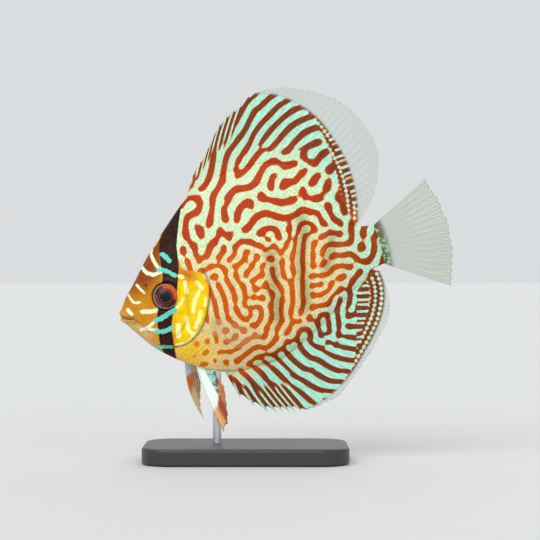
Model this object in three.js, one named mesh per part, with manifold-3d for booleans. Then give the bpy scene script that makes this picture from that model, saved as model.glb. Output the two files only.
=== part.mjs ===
// A discus fish at life size, as a still display model on a flat base with one rod.
// Millimetres, +Z up. The fish faces -X, its left side faces -Y, and the base stands on Z = 0.
import * as THREE from "three";
import { mergeVertices } from "three/addons/utils/BufferGeometryUtils.js";
import Module from "manifold-3d";

const wasm = await Module();
wasm.setup();

// Driving dimensions
const bodyLength = 124.6; // snout to the root of the tail fin
const bodyThickness = 25.6; // across the shoulders
const noseDown = 16; // degrees the head hangs below the tail
const mouthHeight = 69; // the mouth above the table
const mouthForward = 58.75; // the mouth ahead of the middle of the base
const gap = 0.3; // air between two neighbours
const finRoot = 2.2; // thickness of a fin where it leaves the body
const finEdge = 0.6; // thickness of its membrane at the free edge
const rayRise = 0.2; // how far a ray stands out on each face
const eyeRadius = 6.7;
const eyeDepth = 4.8; // half the depth of the flattened eyeball

// Places on the fish are given in hundredths of the body length: x back from the snout,
// z up from the mouth line.
const part = bodyLength / 100;

// Colours of the photographed fish
const colours = {
  head: 0xd8a63a,
  torso: 0xe4b98a,
  tailStalk: 0xd9a070,
  gillCover: 0xe9c93a,
  eye: 0x2a1712,
  medianFin: 0xa8e0c8,
  tailFin: 0xb9cdb6,
  pairedFin: 0xdca86a,
  base: 0x2b2c2f,
  rod: 0xb8bbc0,
};

// Small tools

// The same chances each time, so that the fins vary but always in the same way.
let chance = 20;
function random() {
  chance = (chance * 16807) % 2147483647;
  return chance / 2147483647;
}

function mix(a, b, t) {
  return a + (b - a) * t;
}

function ease(low, high, value) {
  const t = Math.min(1, Math.max(0, (value - low) / (high - low)));
  return t * t * (3 - 2 * t);
}

// A smooth curve through a few points that doesn't overshoot between them.
function curveThrough(points) {
  const last = points.length - 1;
  const slopes = [];
  for (let i = 0; i < last; i++) {
    slopes.push((points[i + 1][1] - points[i][1]) / (points[i + 1][0] - points[i][0]));
  }
  const tangents = points.map((point, i) => {
    if (i === 0) return slopes[0];
    if (i === last) return slopes[last - 1];
    const before = slopes[i - 1];
    const after = slopes[i];
    return before * after <= 0 ? 0 : (2 * before * after) / (before + after);
  });
  return (x) => {
    let i = 0;
    while (i < last - 1 && x > points[i + 1][0]) i++;
    const width = points[i + 1][0] - points[i][0];
    const t = Math.min(1, Math.max(0, (x - points[i][0]) / width));
    const rise = t * t * (3 - 2 * t);
    const start = t * (1 - t) * (1 - t) * width * tangents[i];
    const end = t * t * (t - 1) * width * tangents[i + 1];
    return points[i][1] + (points[i + 1][1] - points[i][1]) * rise + start + end;
  };
}

// A line in the side view through points given in hundredths of the body length.
function sideLine(points) {
  const places = points.map(([x, z]) => new THREE.Vector3(x * part, 0, z * part));
  return new THREE.CatmullRomCurve3(places, false, "centripetal");
}

function geometryFrom(positions, faces) {
  const geometry = new THREE.BufferGeometry();
  geometry.setAttribute("position", new THREE.Float32BufferAttribute(positions, 3));
  geometry.setIndex(faces);
  return facingOut(geometry);
}

// The geometry with its faces turned outward, told by the sign of its volume.
function facingOut(geometry) {
  const p = geometry.getAttribute("position");
  const faces = Array.from(geometry.index.array);
  const [a, b, c] = [new THREE.Vector3(), new THREE.Vector3(), new THREE.Vector3()];
  let volume = 0;
  for (let i = 0; i < faces.length; i += 3) {
    a.fromBufferAttribute(p, faces[i]);
    b.fromBufferAttribute(p, faces[i + 1]);
    c.fromBufferAttribute(p, faces[i + 2]);
    volume += a.dot(b.cross(c));
  }
  if (volume < 0) {
    for (let i = 0; i < faces.length; i += 3) {
      [faces[i + 1], faces[i + 2]] = [faces[i + 2], faces[i + 1]];
    }
  }
  return geometry.setIndex(faces);
}

// A closed geometry skinned over rings of points, with a flat cap on each end.
function skinned(rings) {
  const count = rings[0].length;
  const positions = rings.flat().flatMap((point) => point.toArray());
  const faces = [];
  for (let r = 0; r + 1 < rings.length; r++) {
    for (let i = 0; i < count; i++) {
      const a = r * count + i;
      const b = r * count + ((i + 1) % count);
      faces.push(a, b, b + count, a, b + count, a + count);
    }
  }
  for (const r of [0, rings.length - 1]) {
    const middle = new THREE.Vector3();
    rings[r].forEach((point) => middle.addScaledVector(point, 1 / count));
    positions.push(...middle.toArray());
    const hub = positions.length / 3 - 1;
    for (let i = 0; i < count; i++) {
      const a = r * count + i;
      const b = r * count + ((i + 1) % count);
      faces.push(...(r === 0 ? [hub, b, a] : [hub, a, b]));
    }
  }
  return geometryFrom(positions, faces);
}

// A round tube along a path, its radius told by a function of the way along.
function tube(path, radiusAt, steps, sides) {
  const frames = path.computeFrenetFrames(steps, false);
  const rings = [];
  for (let i = 0; i <= steps; i++) {
    const centre = path.getPointAt(i / steps);
    const ring = [];
    for (let j = 0; j < sides; j++) {
      const turn = (2 * Math.PI * j) / sides;
      const radius = radiusAt(i / steps);
      ring.push(
        centre
          .clone()
          .addScaledVector(frames.normals[i], radius * Math.cos(turn))
          .addScaledVector(frames.binormals[i], radius * Math.sin(turn)),
      );
    }
    rings.push(ring);
  }
  return skinned(rings);
}

function ball(radius, centre, across = radius, columns = 18, rows = 12) {
  return new THREE.SphereGeometry(radius, columns, rows)
    .rotateX(Math.PI / 2)
    .scale(1, across / radius, 1)
    .translate(centre.x, centre.y, centre.z);
}

// A straight block whose side view is the outline, reaching from one y to another.
function sideBlock(outline, yFrom, yTo) {
  const shape = new THREE.Shape(outline.map((p) => new THREE.Vector2(p.x, p.z)));
  return new THREE.ExtrudeGeometry(shape, { depth: yTo - yFrom, bevelEnabled: false })
    .rotateX(Math.PI / 2)
    .translate(0, yTo, 0);
}

function solid(geometry) {
  const bare = new THREE.BufferGeometry();
  bare.setAttribute("position", geometry.getAttribute("position"));
  if (geometry.index) bare.setIndex(geometry.index);
  const merged = facingOut(mergeVertices(bare, 1e-4));
  return new wasm.Manifold(
    new wasm.Mesh({
      numProp: 3,
      vertProperties: merged.getAttribute("position").array,
      triVerts: new Uint32Array(merged.index.array),
    }),
  );
}

// The largest closed body of a cut or joined solid, as a geometry.
function geometryOf(shape) {
  const bodies = shape.decompose();
  const largest = bodies.reduce((a, b) => (b.volume() > a.volume() ? b : a));
  const mesh = largest.getMesh();
  return geometryFrom(Array.from(mesh.vertProperties), Array.from(mesh.triVerts));
}

function node(name, geometry, colour, roughness = 0.5, metalness = 0) {
  const material = new THREE.MeshStandardMaterial({ color: colour, roughness, metalness });
  const mesh = new THREE.Mesh(geometry, material);
  mesh.name = name;
  return mesh;
}

// The body: its top and bottom edges in the side view
const topEdge = curveThrough([
  [0.5, 1.3],
  [3.2, 5.1],
  [8.2, 10.2],
  [14.3, 16.8],
  [25.7, 27.2],
  [36.4, 35.5],
  [45.3, 39.2],
  [56.6, 40.8],
  [67.9, 40],
  [77.4, 36.9],
  [86, 29.5],
  [91.7, 18.9],
  [94.4, 7.6],
  [100, 6],
]);
const bottomEdge = curveThrough([
  [0.5, -3.6],
  [4.8, -10.2],
  [8.6, -15.5],
  [15.6, -22.2],
  [23, -27.4],
  [31.9, -31.8],
  [39.6, -33.2],
  [51, -33.2],
  [60.8, -30.2],
  [71.7, -24.6],
  [81.1, -18.9],
  [90.5, -13.2],
  [96.2, -9.8],
  [100, -9.1],
]);
// Half the width of the body as a share of its greatest, and the height where it's widest
const widthShare = curveThrough([
  [0.5, 0.17],
  [4.8, 0.4],
  [11, 0.62],
  [18.5, 0.8],
  [27, 0.94],
  [37, 1],
  [48, 0.96],
  [64, 0.77],
  [80, 0.48],
  [90, 0.28],
  [95, 0.21],
  [100, 0.17],
]);
const widestHeight = curveThrough([
  [0.5, -1.1],
  [18, 0.5],
  [40, 3],
  [72, 1.5],
  [100, -1.6],
]);

// The flat strips along the back and the belly that the fins stand on
const finLedge = finRoot / 2 + 0.1;
const crownLedge = 0.6; // the rounded ridge of the forehead
const breastLedge = 4; // the broad keel that carries the pelvic fins
const napeX = 36.4; // where the dorsal fin starts
const pelvicX = 23;
const ventX = 31.9; // where the anal fin starts

function backLedge(x) {
  return mix(crownLedge, finLedge, ease(napeX - 7, napeX - 1, x));
}

function bellyLedge(x) {
  const chin = mix(1.2, breastLedge, ease(1, pelvicX - 3, x));
  return mix(chin, finLedge, ease(pelvicX + 4.5, ventX - 0.3, x));
}

// The eye and the rim of skin that stands up round it
const eyeX = 18.6;
const eyeZ = 1.7;
const rimRise = 0.55; // mm
const rimRadius = 7.4; // mm
const rimSpread = 1.1; // mm

// The gill cover's front edge and its free edge, which is also where the head ends
const coverFront = sideLine([
  [33.5, 8.6],
  [28.6, 5],
  [26.2, 0],
  [25.4, -5],
  [23.2, -9.8],
  [19, -13.2],
  [14, -14.6],
]);
const coverEdge = sideLine([
  [33.5, 8.6],
  [35, 5],
  [35.2, 0.5],
  [33.6, -4],
  [31.2, -8.8],
  [28.4, -12.8],
  [24.8, -15.8],
  [20, -17.5],
  [14, -16.6],
]);
const headEdge = sideLine([
  [36.2, 38],
  [35, 30],
  [33.4, 20],
  [32.8, 13],
  [33.5, 8.6],
]);
const coverLift = 0.75; // mm that the free edge stands off the body
const coverInset = 1; // mm of it below the skin

// How far a place on the side is raised off the plain body, in mm
function rimAt(x, z) {
  const reach = Math.hypot((x - eyeX) * part, (z - eyeZ) * part);
  return rimRise * Math.exp(-(((reach - rimRadius) / rimSpread) ** 2));
}

function coverLiftAt(x, z) {
  const behind = (x - 25) * 0.75 - (z + 4) * 0.45;
  return coverLift * ease(-1, 7, behind);
}

// Half the width of the body in mm; s runs from -1 at the belly to 1 at the back.
function halfWidth(x, s) {
  const ledge = s > 0 ? backLedge(x) : bellyLedge(x);
  const widest = (bodyThickness / 2) * widthShare(x);
  const roundness = mix(0.55, 0.8, ease(10, 45, x));
  return ledge + Math.max(0, widest - ledge) * (1 - s * s) ** roundness;
}

function heightAt(x, s) {
  const middle = widestHeight(x);
  return s > 0 ? mix(middle, topEdge(x), s) : mix(middle, bottomEdge(x), -s);
}

// Half the width of the body in mm at a height z instead
function halfWidthAt(x, z) {
  const middle = widestHeight(x);
  const span = z > middle ? topEdge(x) - middle : middle - bottomEdge(x);
  return halfWidth(x, Math.max(-1, Math.min(1, (z - middle) / span)));
}

const bodyStart = 0.5;
const sideSteps = 12;

function stations() {
  const list = [];
  let x = bodyStart;
  while (x < 100) {
    list.push(x);
    x += x < 4 ? 1.1 : x < 40 ? 2.2 : x < 84 ? 3.2 : x < 94.8 ? 1.3 : 2.6;
  }
  if (100 - list[list.length - 1] < 0.8) list.pop();
  return [...list, 100];
}

// The whole body as rings of points, grown or shrunk by a function of the place.
function bodyGeometry(growth) {
  const rings = stations().map((x) => {
    const left = [];
    const right = [];
    for (let i = 0; i <= sideSteps; i++) {
      const s = -Math.cos((Math.PI * i) / sideSteps);
      const z = heightAt(x, s);
      const side = halfWidth(x, s) + growth(x, z);
      left.push(new THREE.Vector3(x * part, -side, z * part));
      right.unshift(new THREE.Vector3(x * part, side, z * part));
    }
    return [...left, ...right];
  });
  return skinned(rings);
}

const body = solid(bodyGeometry(rimAt));
const liftedBody = solid(bodyGeometry((x, z) => rimAt(x, z) + coverLiftAt(x, z)));
const shrunkBody = solid(bodyGeometry(() => -coverInset));
const shrunkMore = solid(bodyGeometry(() => -coverInset - gap));

// Outlines in the side view, each optionally grown by an amount in mm
function outlineOf(lines, samples) {
  return lines.flatMap((line) => line.getSpacedPoints(samples).slice(0, -1));
}

function grown(outline, amount) {
  const area = THREE.ShapeUtils.area(outline.map((p) => new THREE.Vector2(p.x, p.z)));
  const outward = amount * Math.sign(area);
  return outline.map((p, i) => {
    const before = outline[(i + outline.length - 1) % outline.length];
    const after = outline[(i + 1) % outline.length];
    const along = after.clone().sub(before).normalize();
    return p.clone().addScaledVector(new THREE.Vector3(along.z, 0, -along.x), outward);
  });
}

const farForward = -20;
const farUp = 90;
const farDown = -80;
const farSide = 40; // mm, beyond every part of the body

// Everything ahead of the gill openings and the nape, moved back by an amount in mm
const throatLength = 9; // mm that the head reaches forward under the gill covers
const throatDrop = 1.5;
const chinDrop = 4;

function headOutline(back) {
  const upper = headEdge.getSpacedPoints(12).slice(0, -1);
  const lower = coverEdge.getSpacedPoints(28);
  const line = [...upper, ...lower].map((p, i, all) => {
    const before = all[Math.max(0, i - 1)];
    const after = all[Math.min(all.length - 1, i + 1)];
    const along = after.clone().sub(before).normalize();
    return p.clone().addScaledVector(new THREE.Vector3(-along.z, 0, along.x), back);
  });
  const throat = line[line.length - 1];
  return [
    new THREE.Vector3(farForward, 0, farUp),
    new THREE.Vector3(line[0].x, 0, farUp),
    ...line,
    new THREE.Vector3(throat.x - throatLength, 0, throat.z - throatDrop),
    new THREE.Vector3(farForward, 0, throat.z - chinDrop),
  ];
}

const headBlock = solid(sideBlock(headOutline(0), -farSide, farSide));
const headBlockGrown = solid(sideBlock(headOutline(gap), -farSide, farSide));
const stalkStart = 91; // the tail stalk begins here
const stalkOutline = (start) => [
  new THREE.Vector3(start, 0, farDown),
  new THREE.Vector3(start, 0, farUp),
  new THREE.Vector3(bodyLength + 20, 0, farUp),
  new THREE.Vector3(bodyLength + 20, 0, farDown),
];
const stalkBlock = solid(sideBlock(stalkOutline(stalkStart * part), -farSide, farSide));
const stalkBlockGrown = solid(sideBlock(stalkOutline(stalkStart * part - gap), -farSide, farSide));

// The gill covers, each a thin shell let into the side of the head
const coverOutline = [
  ...outlineOf([coverEdge], 28),
  ...coverFront.getSpacedPoints(22).reverse().slice(0, -1),
];
const sides = [
  { name: "left", sign: -1 },
  { name: "right", sign: 1 },
];

function coverBlock(sign, amount) {
  const outline = amount ? grown(coverOutline, amount) : coverOutline;
  return solid(sideBlock(outline, sign < 0 ? -farSide : 1, sign < 0 ? -1 : farSide));
}

// The lips, the mouth line between them and the two nostrils
const mouthHalf = 4.3; // mm from the middle to the corner of the mouth
const lipRadius = 1.35; // mm

function lipPath(front, height, back, drop) {
  const points = [];
  for (let i = -4; i <= 4; i++) {
    const share = Math.abs(i) / 4;
    points.push(
      new THREE.Vector3(
        front + back * share ** 2.2,
        (i / 4) * mouthHalf,
        height - drop * share ** 1.5,
      ),
    );
  }
  return new THREE.CatmullRomCurve3(points);
}

const lipRadiusAt = (t) => lipRadius * (1 - 0.45 * Math.abs(2 * t - 1) ** 3);
const upperLip = solid(tube(lipPath(0.9, 0.55, 5.2, 3), lipRadiusAt, 10, 8));
const lowerLip = solid(tube(lipPath(0.5, -2.5, 5.4, 2.3), lipRadiusAt, 10, 8));
const mouthLine = solid(tube(lipPath(-0.5, -0.95, 5.2, 2.9), () => 0.42, 10, 5));
const nostrilX = 12.4;
const nostrilZ = 7.6;
const nostrilRadius = 0.75; // mm

// A place in the side view, lifted onto the skin of one side and moved out by an amount
function onSkin(x, z, sign, out = 0) {
  return new THREE.Vector3(x * part, sign * (halfWidthAt(x, z) + out), z * part);
}

const eyeSunk = 1.8; // how far the middle of the eyeball lies below the skin
let headShape = body.intersect(headBlock).add(upperLip).add(lowerLip).subtract(mouthLine);
const covers = [];
const eyes = [];
for (const { name, sign } of sides) {
  const cover = liftedBody.intersect(coverBlock(sign, 0)).subtract(shrunkBody);
  covers.push(node(`gill_cover_${name}`, geometryOf(cover), colours.gillCover, 0.35));
  headShape = headShape.subtract(coverBlock(sign, gap).subtract(shrunkMore));
  const middle = onSkin(eyeX, eyeZ, sign, -eyeSunk);
  headShape = headShape.subtract(solid(ball(eyeRadius + gap, middle, eyeDepth + gap)));
  eyes.push(node(`eye_${name}`, ball(eyeRadius, middle, eyeDepth), colours.eye, 0.1));
  const nostril = onSkin(nostrilX, nostrilZ, sign);
  headShape = headShape.subtract(solid(ball(nostrilRadius, nostril, nostrilRadius, 8, 6)));
}
const rearShape = body.subtract(headBlockGrown);
const flesh = [
  node("head", geometryOf(headShape), colours.head, 0.4),
  node("torso", geometryOf(rearShape.subtract(stalkBlockGrown)), colours.torso, 0.45),
  node("tail_stalk", geometryOf(rearShape.intersect(stalkBlock)), colours.tailStalk, 0.45),
];

// A thin fin over a grid on its middle surface, both faces triangulated alike.
// Columns run across the rays and rows from the root to the free edge.
function finGeometry(middle, half) {
  const columns = middle.length;
  const rows = middle[0].length;
  const positions = [];
  for (const sign of [-1, 1]) {
    for (let c = 0; c < columns; c++) {
      for (let r = 0; r < rows; r++) {
        const along = middle[c][Math.min(rows - 1, r + 1)]
          .clone()
          .sub(middle[c][Math.max(0, r - 1)]);
        const across = middle[Math.min(columns - 1, c + 1)][r]
          .clone()
          .sub(middle[Math.max(0, c - 1)][r]);
        const normal = along.cross(across).normalize();
        positions.push(...middle[c][r].clone().addScaledVector(normal, sign * half[c][r]).toArray());
      }
    }
  }
  const faces = [];
  const backStart = columns * rows;
  for (let c = 0; c + 1 < columns; c++) {
    for (let r = 0; r + 1 < rows; r++) {
      const a = c * rows + r;
      const b = a + rows;
      faces.push(a, b, b + 1, a, b + 1, a + 1);
      const [d, e] = [a + backStart, b + backStart];
      faces.push(d, e + 1, e, d, d + 1, e + 1);
    }
  }
  const border = [];
  for (let c = 0; c < columns - 1; c++) border.push(c * rows);
  for (let r = 0; r < rows - 1; r++) border.push((columns - 1) * rows + r);
  for (let c = columns - 1; c > 0; c--) border.push(c * rows + rows - 1);
  for (let r = rows - 1; r > 0; r--) border.push(r);
  border.forEach((a, i) => {
    const b = border[(i + 1) % border.length];
    faces.push(a, a + backStart, b + backStart, a, b + backStart, b);
  });
  return geometryFrom(positions, faces);
}

// The columns of a fin: three to each ray, on its crest and on both its flanks.
function rayColumns(count) {
  const columns = [];
  for (let ray = 0; ray < count; ray++) {
    if (ray > 0) columns.push({ at: ray - 0.27, ray, crest: false });
    columns.push({ at: ray, ray, crest: true });
    if (ray < count - 1) columns.push({ at: ray + 0.27, ray, crest: false });
  }
  return columns.map((column) => ({ ...column, share: column.at / (count - 1) }));
}

function halfThickness(u, crest, rise, root = finRoot) {
  const plain = mix(root, finEdge, u ** 0.6) / 2;
  return plain + (crest ? rise * ease(0, 0.12, u) * (1 - 0.4 * u) : 0);
}

// A fin on the middle plane, from its root line to its free edge.
function medianFin({ root, edge, tipShare, spines, rays, rows, sag, wave, notch, spineNotch }) {
  const count = spines + rays;
  const ragged = Array.from({ length: count }, () => 1 - 0.025 * random());
  const middle = [];
  const half = [];
  for (const { share, ray, crest } of rayColumns(count)) {
    const from = root.getPointAt(share);
    const to = edge.getPointAt(tipShare(share));
    const length = from.distanceTo(to);
    const isSpine = ray < spines;
    const cut = crest ? 0 : isSpine ? spineNotch : notch;
    const reach = ray === 0 || ray === count - 1 ? 1 : ragged[ray];
    const end = reach * (1 - Math.min(0.3, cut / length));
    const bend = new THREE.Vector3(-(to.z - from.z), 0, to.x - from.x).multiplyScalar(sag);
    const line = [];
    const thick = [];
    for (let r = 0; r <= rows; r++) {
      const u = end * (r / rows) ** 1.15;
      const point = from.clone().lerp(to, u).addScaledVector(bend, 4 * u * (1 - u));
      point.y = wave.height * u * u * Math.sin(wave.turns * 2 * Math.PI * share + wave.start);
      line.push(point);
      const rise = isSpine ? 1.6 * rayRise : rayRise;
      thick.push(halfThickness(r / rows, crest, rise));
    }
    middle.push(line);
    half.push(thick);
  }
  return finGeometry(middle, half);
}

// A line that follows an edge of the body at the width of the gap
function rootAlong(edgeOf, from, to, sign, samples) {
  const points = [];
  for (let i = 0; i <= samples; i++) {
    const x = mix(from, to, i / samples);
    const step = 0.05;
    const slope = (edgeOf(x + step) - edgeOf(x - step)) / (2 * step);
    const out = new THREE.Vector3(-slope, 0, 1).normalize().multiplyScalar(sign * (gap + 0.05));
    points.push(new THREE.Vector3(x * part, 0, edgeOf(x) * part).add(out));
  }
  return new THREE.CatmullRomCurve3(points);
}

const dorsalFin = medianFin({
  root: rootAlong(topEdge, napeX, 94.3, 1, 60),
  edge: sideLine([
    [38.6, 39.5],
    [42.2, 45.7],
    [47, 49.6],
    [51.5, 54.3],
    [57, 60.5],
    [71.7, 66.4],
    [84.9, 64.8],
    [98.8, 57.3],
    [107.5, 45.3],
    [110.1, 34],
    [107.5, 22.6],
    [101.1, 13.2],
    [98.2, 10.8],
  ]),
  tipShare: curveThrough([
    [0, 0],
    [0.06, 0.1],
    [0.12, 0.205],
    [0.25, 0.345],
    [0.5, 0.56],
    [0.75, 0.76],
    [1, 1],
  ]),
  spines: 9,
  rays: 31,
  rows: 5,
  sag: 0.03,
  wave: { height: 0.7, turns: 2.5, start: 0.4 },
  notch: 0.5,
  spineNotch: 4,
});

const analFin = medianFin({
  root: rootAlong(bottomEdge, ventX, 96, -1, 60),
  edge: sideLine([
    [33.2, -37.2],
    [34.8, -43.4],
    [38.4, -47],
    [43, -50.8],
    [52.3, -53.8],
    [64.4, -54],
    [71.8, -51.9],
    [77.1, -48.2],
    [84.7, -42],
    [90.5, -36.3],
    [97.4, -28.6],
    [99.5, -19.4],
    [98.6, -11.4],
  ]),
  tipShare: curveThrough([
    [0, 0],
    [0.1, 0.2],
    [0.25, 0.33],
    [0.5, 0.575],
    [0.75, 0.82],
    [1, 1],
  ]),
  spines: 8,
  rays: 29,
  rows: 5,
  sag: -0.03,
  wave: { height: 0.7, turns: 2.2, start: 2 },
  notch: 0.5,
  spineNotch: 4,
});

// The tail fin, a fan of rays from the end of the stalk
const tailRootX = bodyLength + gap + 0.05;
const tailFin = medianFin({
  root: new THREE.LineCurve3(
    new THREE.Vector3(tailRootX, 0, (topEdge(100) - 0.3) * part),
    new THREE.Vector3(tailRootX, 0, (bottomEdge(100) + 0.3) * part),
  ),
  edge: sideLine([
    [124.6, 17.6],
    [127.4, 7],
    [128.2, -3.4],
    [126.6, -14],
    [122.8, -24.2],
  ]),
  tipShare: (share) => share,
  spines: 0,
  rays: 16,
  rows: 5,
  sag: 0,
  wave: { height: 1.2, turns: 1.2, start: 1 },
  notch: 0.6,
  spineNotch: 0,
});

// The pectoral fins leave the flank just behind the gill openings and fold back along it.
const pectoralRoot = sideLine([
  [33.4, -10.6],
  [32.6, -13.4],
  [31.2, -16],
]);
const pectoralEdge = sideLine([
  [49.5, -20.2],
  [49.2, -22.6],
  [46, -24.6],
  [41.6, -25.2],
  [38, -23.6],
]);
const pectoral = { rays: 12, rows: 7, bend: 2.6, spread: 3.4, root: 1.7 };

function pectoralFin(sign) {
  const middle = [];
  const half = [];
  const crestRise = 0.9 * rayRise;
  for (const { share, crest, ray } of rayColumns(pectoral.rays)) {
    const from = pectoralRoot.getPointAt(share);
    const to = pectoralEdge.getPointAt(share);
    const skin = halfWidthAt(from.x / part, from.z / part);
    const end = crest ? 1 : 0.975;
    const line = [];
    const thick = [];
    for (let r = 0; r <= pectoral.rows; r++) {
      const u = end * (r / pectoral.rows) ** 1.7;
      const back = Math.max(0, u - 0.03) / 0.97;
      const point = from.clone().lerp(to, back);
      const out = pectoral.bend * (1 - Math.exp(-u / 0.07)) + pectoral.spread * u;
      point.y = sign * (skin + gap + 0.1 + out);
      line.push(point);
      thick.push(halfThickness(r / pectoral.rows, crest && ray > 0, crestRise, pectoral.root));
    }
    middle.push(line);
    half.push(thick);
  }
  return finGeometry(middle, half);
}

// The pelvic fins hang from the breast, each a stiff leading ray with a narrow web behind it.
const pelvicShapes = {
  left: {
    frontX: 22.2,
    backX: 26.4,
    edge: [
      [25.4, -53.2],
      [28, -49.7],
      [28.9, -45.5],
      [29.6, -41.2],
      [30.2, -36.6],
    ],
    splay: 5.5,
    bow: -0.7,
  },
  right: {
    frontX: 18.2,
    backX: 21.8,
    edge: [
      [19, -47.5],
      [18.8, -44.5],
      [19.2, -41.3],
      [20.2, -37.6],
      [21.4, -33.6],
    ],
    splay: 5,
    bow: -2,
  },
};
const pelvic = { rays: 6, rows: 8, root: 1.9, inset: 2.7 };

function pelvicFin(name, sign) {
  const { frontX, backX, edge, splay, bow } = pelvicShapes[name];
  const edgeLine = sideLine(edge);
  const middle = [];
  const half = [];
  for (const { share, crest, ray } of rayColumns(pelvic.rays)) {
    const x = mix(frontX, backX, share);
    const from = new THREE.Vector3(x * part, 0, bottomEdge(x) * part - gap - 0.1);
    const to = edgeLine.getPointAt(share);
    const end = crest ? 1 : 0.96;
    const line = [];
    const thick = [];
    for (let r = 0; r <= pelvic.rows; r++) {
      const u = end * (r / pelvic.rows);
      const point = from.clone().lerp(to, u);
      point.x += bow * (1 - share) * part * 4 * u * (1 - u);
      point.y = sign * (pelvic.inset + splay * u ** 1.4);
      line.push(point);
      const rise = ray === 0 ? 2.5 * rayRise : rayRise;
      thick.push(halfThickness(r / pelvic.rows, crest, rise, pelvic.root));
    }
    middle.push(line);
    half.push(thick);
  }
  return finGeometry(middle, half);
}

const fins = [
  node("dorsal_fin", dorsalFin, colours.medianFin, 0.4),
  node("anal_fin", analFin, colours.medianFin, 0.4),
  node("tail_fin", tailFin, colours.tailFin, 0.4),
];
for (const { name, sign } of sides) {
  fins.push(node(`pectoral_fin_${name}`, pectoralFin(sign), colours.tailFin, 0.4));
  fins.push(node(`pelvic_fin_${name}`, pelvicFin(name, sign), colours.pairedFin, 0.4));
}

const fish = new THREE.Group();
fish.add(...flesh, ...covers, ...eyes, ...fins);
fish.position.set(-mouthForward, 0, mouthHeight);
fish.rotation.y = THREE.MathUtils.degToRad(-noseDown);

// The stand: a flat rounded base and one rod up to the belly
const base = { length: 96, width: 60, height: 8, corner: 14, bevel: 1.2 };
const rod = { x: -13.6, radius: 2, sides: 24 };

function baseGeometry() {
  const half = { x: base.length / 2 - base.bevel, y: base.width / 2 - base.bevel };
  const corner = base.corner - base.bevel;
  const shape = new THREE.Shape();
  const corners = [
    [half.x - corner, half.y - corner, 0],
    [corner - half.x, half.y - corner, 90],
    [corner - half.x, corner - half.y, 180],
    [half.x - corner, corner - half.y, 270],
  ];
  for (const [x, y, start] of corners) {
    const from = THREE.MathUtils.degToRad(start);
    shape.absarc(x, y, corner, from, from + Math.PI / 2, false);
  }
  return new THREE.ExtrudeGeometry(shape, {
    depth: base.height - 2 * base.bevel,
    bevelThickness: base.bevel,
    bevelSize: base.bevel,
    bevelSegments: 2,
    curveSegments: 5,
  }).translate(0, 0, base.bevel);
}

fish.updateMatrix();
const rodLow = base.height + gap;
const rodHigh = mouthHeight;
const rodBar = solid(
  new THREE.CylinderGeometry(rod.radius, rod.radius, rodHigh - rodLow, rod.sides)
    .rotateX(Math.PI / 2)
    .translate(rod.x, 0, (rodLow + rodHigh) / 2),
);
const loweredBody = solid(
  bodyGeometry(() => 0)
    .applyMatrix4(fish.matrix)
    .translate(0, 0, -gap - 0.1),
);
const rodPieces = rodBar.subtract(loweredBody).decompose();
const lowestOf = (shape) => shape.boundingBox().min[2];
const rodShape = rodPieces.reduce((a, b) => (lowestOf(b) < lowestOf(a) ? b : a));

const group = new THREE.Group();
group.add(
  fish,
  node("stand_base", geometryOf(solid(baseGeometry())), colours.base, 0.45),
  node("stand_rod", geometryOf(rodShape), colours.rod, 0.25, 0.9),
);

export default group;
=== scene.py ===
import bmesh
import bpy
import math
import numpy as np
from mathutils import Matrix, Vector


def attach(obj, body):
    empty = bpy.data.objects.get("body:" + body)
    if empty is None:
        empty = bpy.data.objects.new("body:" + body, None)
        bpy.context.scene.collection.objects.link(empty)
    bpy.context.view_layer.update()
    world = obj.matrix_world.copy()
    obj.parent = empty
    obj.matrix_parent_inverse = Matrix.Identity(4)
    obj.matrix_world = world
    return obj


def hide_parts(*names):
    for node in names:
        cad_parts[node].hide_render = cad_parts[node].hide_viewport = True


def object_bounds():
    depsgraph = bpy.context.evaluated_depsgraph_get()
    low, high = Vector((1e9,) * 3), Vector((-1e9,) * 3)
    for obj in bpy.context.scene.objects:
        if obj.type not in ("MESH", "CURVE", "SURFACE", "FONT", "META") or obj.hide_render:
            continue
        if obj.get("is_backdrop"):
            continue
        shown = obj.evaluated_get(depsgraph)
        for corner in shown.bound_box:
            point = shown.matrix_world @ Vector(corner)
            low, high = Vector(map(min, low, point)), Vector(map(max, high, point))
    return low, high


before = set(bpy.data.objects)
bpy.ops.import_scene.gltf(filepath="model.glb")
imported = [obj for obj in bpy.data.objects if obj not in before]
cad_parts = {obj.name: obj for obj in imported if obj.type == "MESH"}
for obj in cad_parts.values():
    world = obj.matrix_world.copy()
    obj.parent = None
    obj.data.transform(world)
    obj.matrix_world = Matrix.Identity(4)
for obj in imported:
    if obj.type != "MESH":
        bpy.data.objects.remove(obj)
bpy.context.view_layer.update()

# The skin: one closed hide over the head, gill covers, flanks and tail stalk, thin scaled
# skin on firm flesh, without a seam. It is made as one tube of rings from the snout to the
# root of the tail fin, and the lips, the rims of the eyes and the gill covers are raised in it.
BODY_LENGTH = 124.6
BODY_THICKNESS = 25.6
NOSE_DOWN = math.radians(16)
MOUTH_FORWARD = 58.75
MOUTH_HEIGHT = 69.0
PART = BODY_LENGTH / 100  # outlines are given in hundredths of the body length


def curve_through(points):
    """A smooth curve through a few points that doesn't overshoot between them."""
    xs, ys = np.array(points, float).T
    width = np.diff(xs)
    slope = np.diff(ys) / width
    before, after = slope[:-1], slope[1:]
    same_way = before * after > 0
    inner = np.where(same_way, 2 * before * after / np.where(same_way, before + after, 1), 0)
    tangent = np.concatenate([slope[:1], inner, slope[-1:]])

    def at(x):
        i = np.clip(np.searchsorted(xs, x) - 1, 0, len(xs) - 2)
        t = np.clip((x - xs[i]) / width[i], 0, 1)
        rise = t * t * (3 - 2 * t)
        start = t * (1 - t) ** 2 * width[i] * tangent[i]
        end = t * t * (t - 1) * width[i] * tangent[i + 1]
        return ys[i] + (ys[i + 1] - ys[i]) * rise + start + end

    return at


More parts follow.
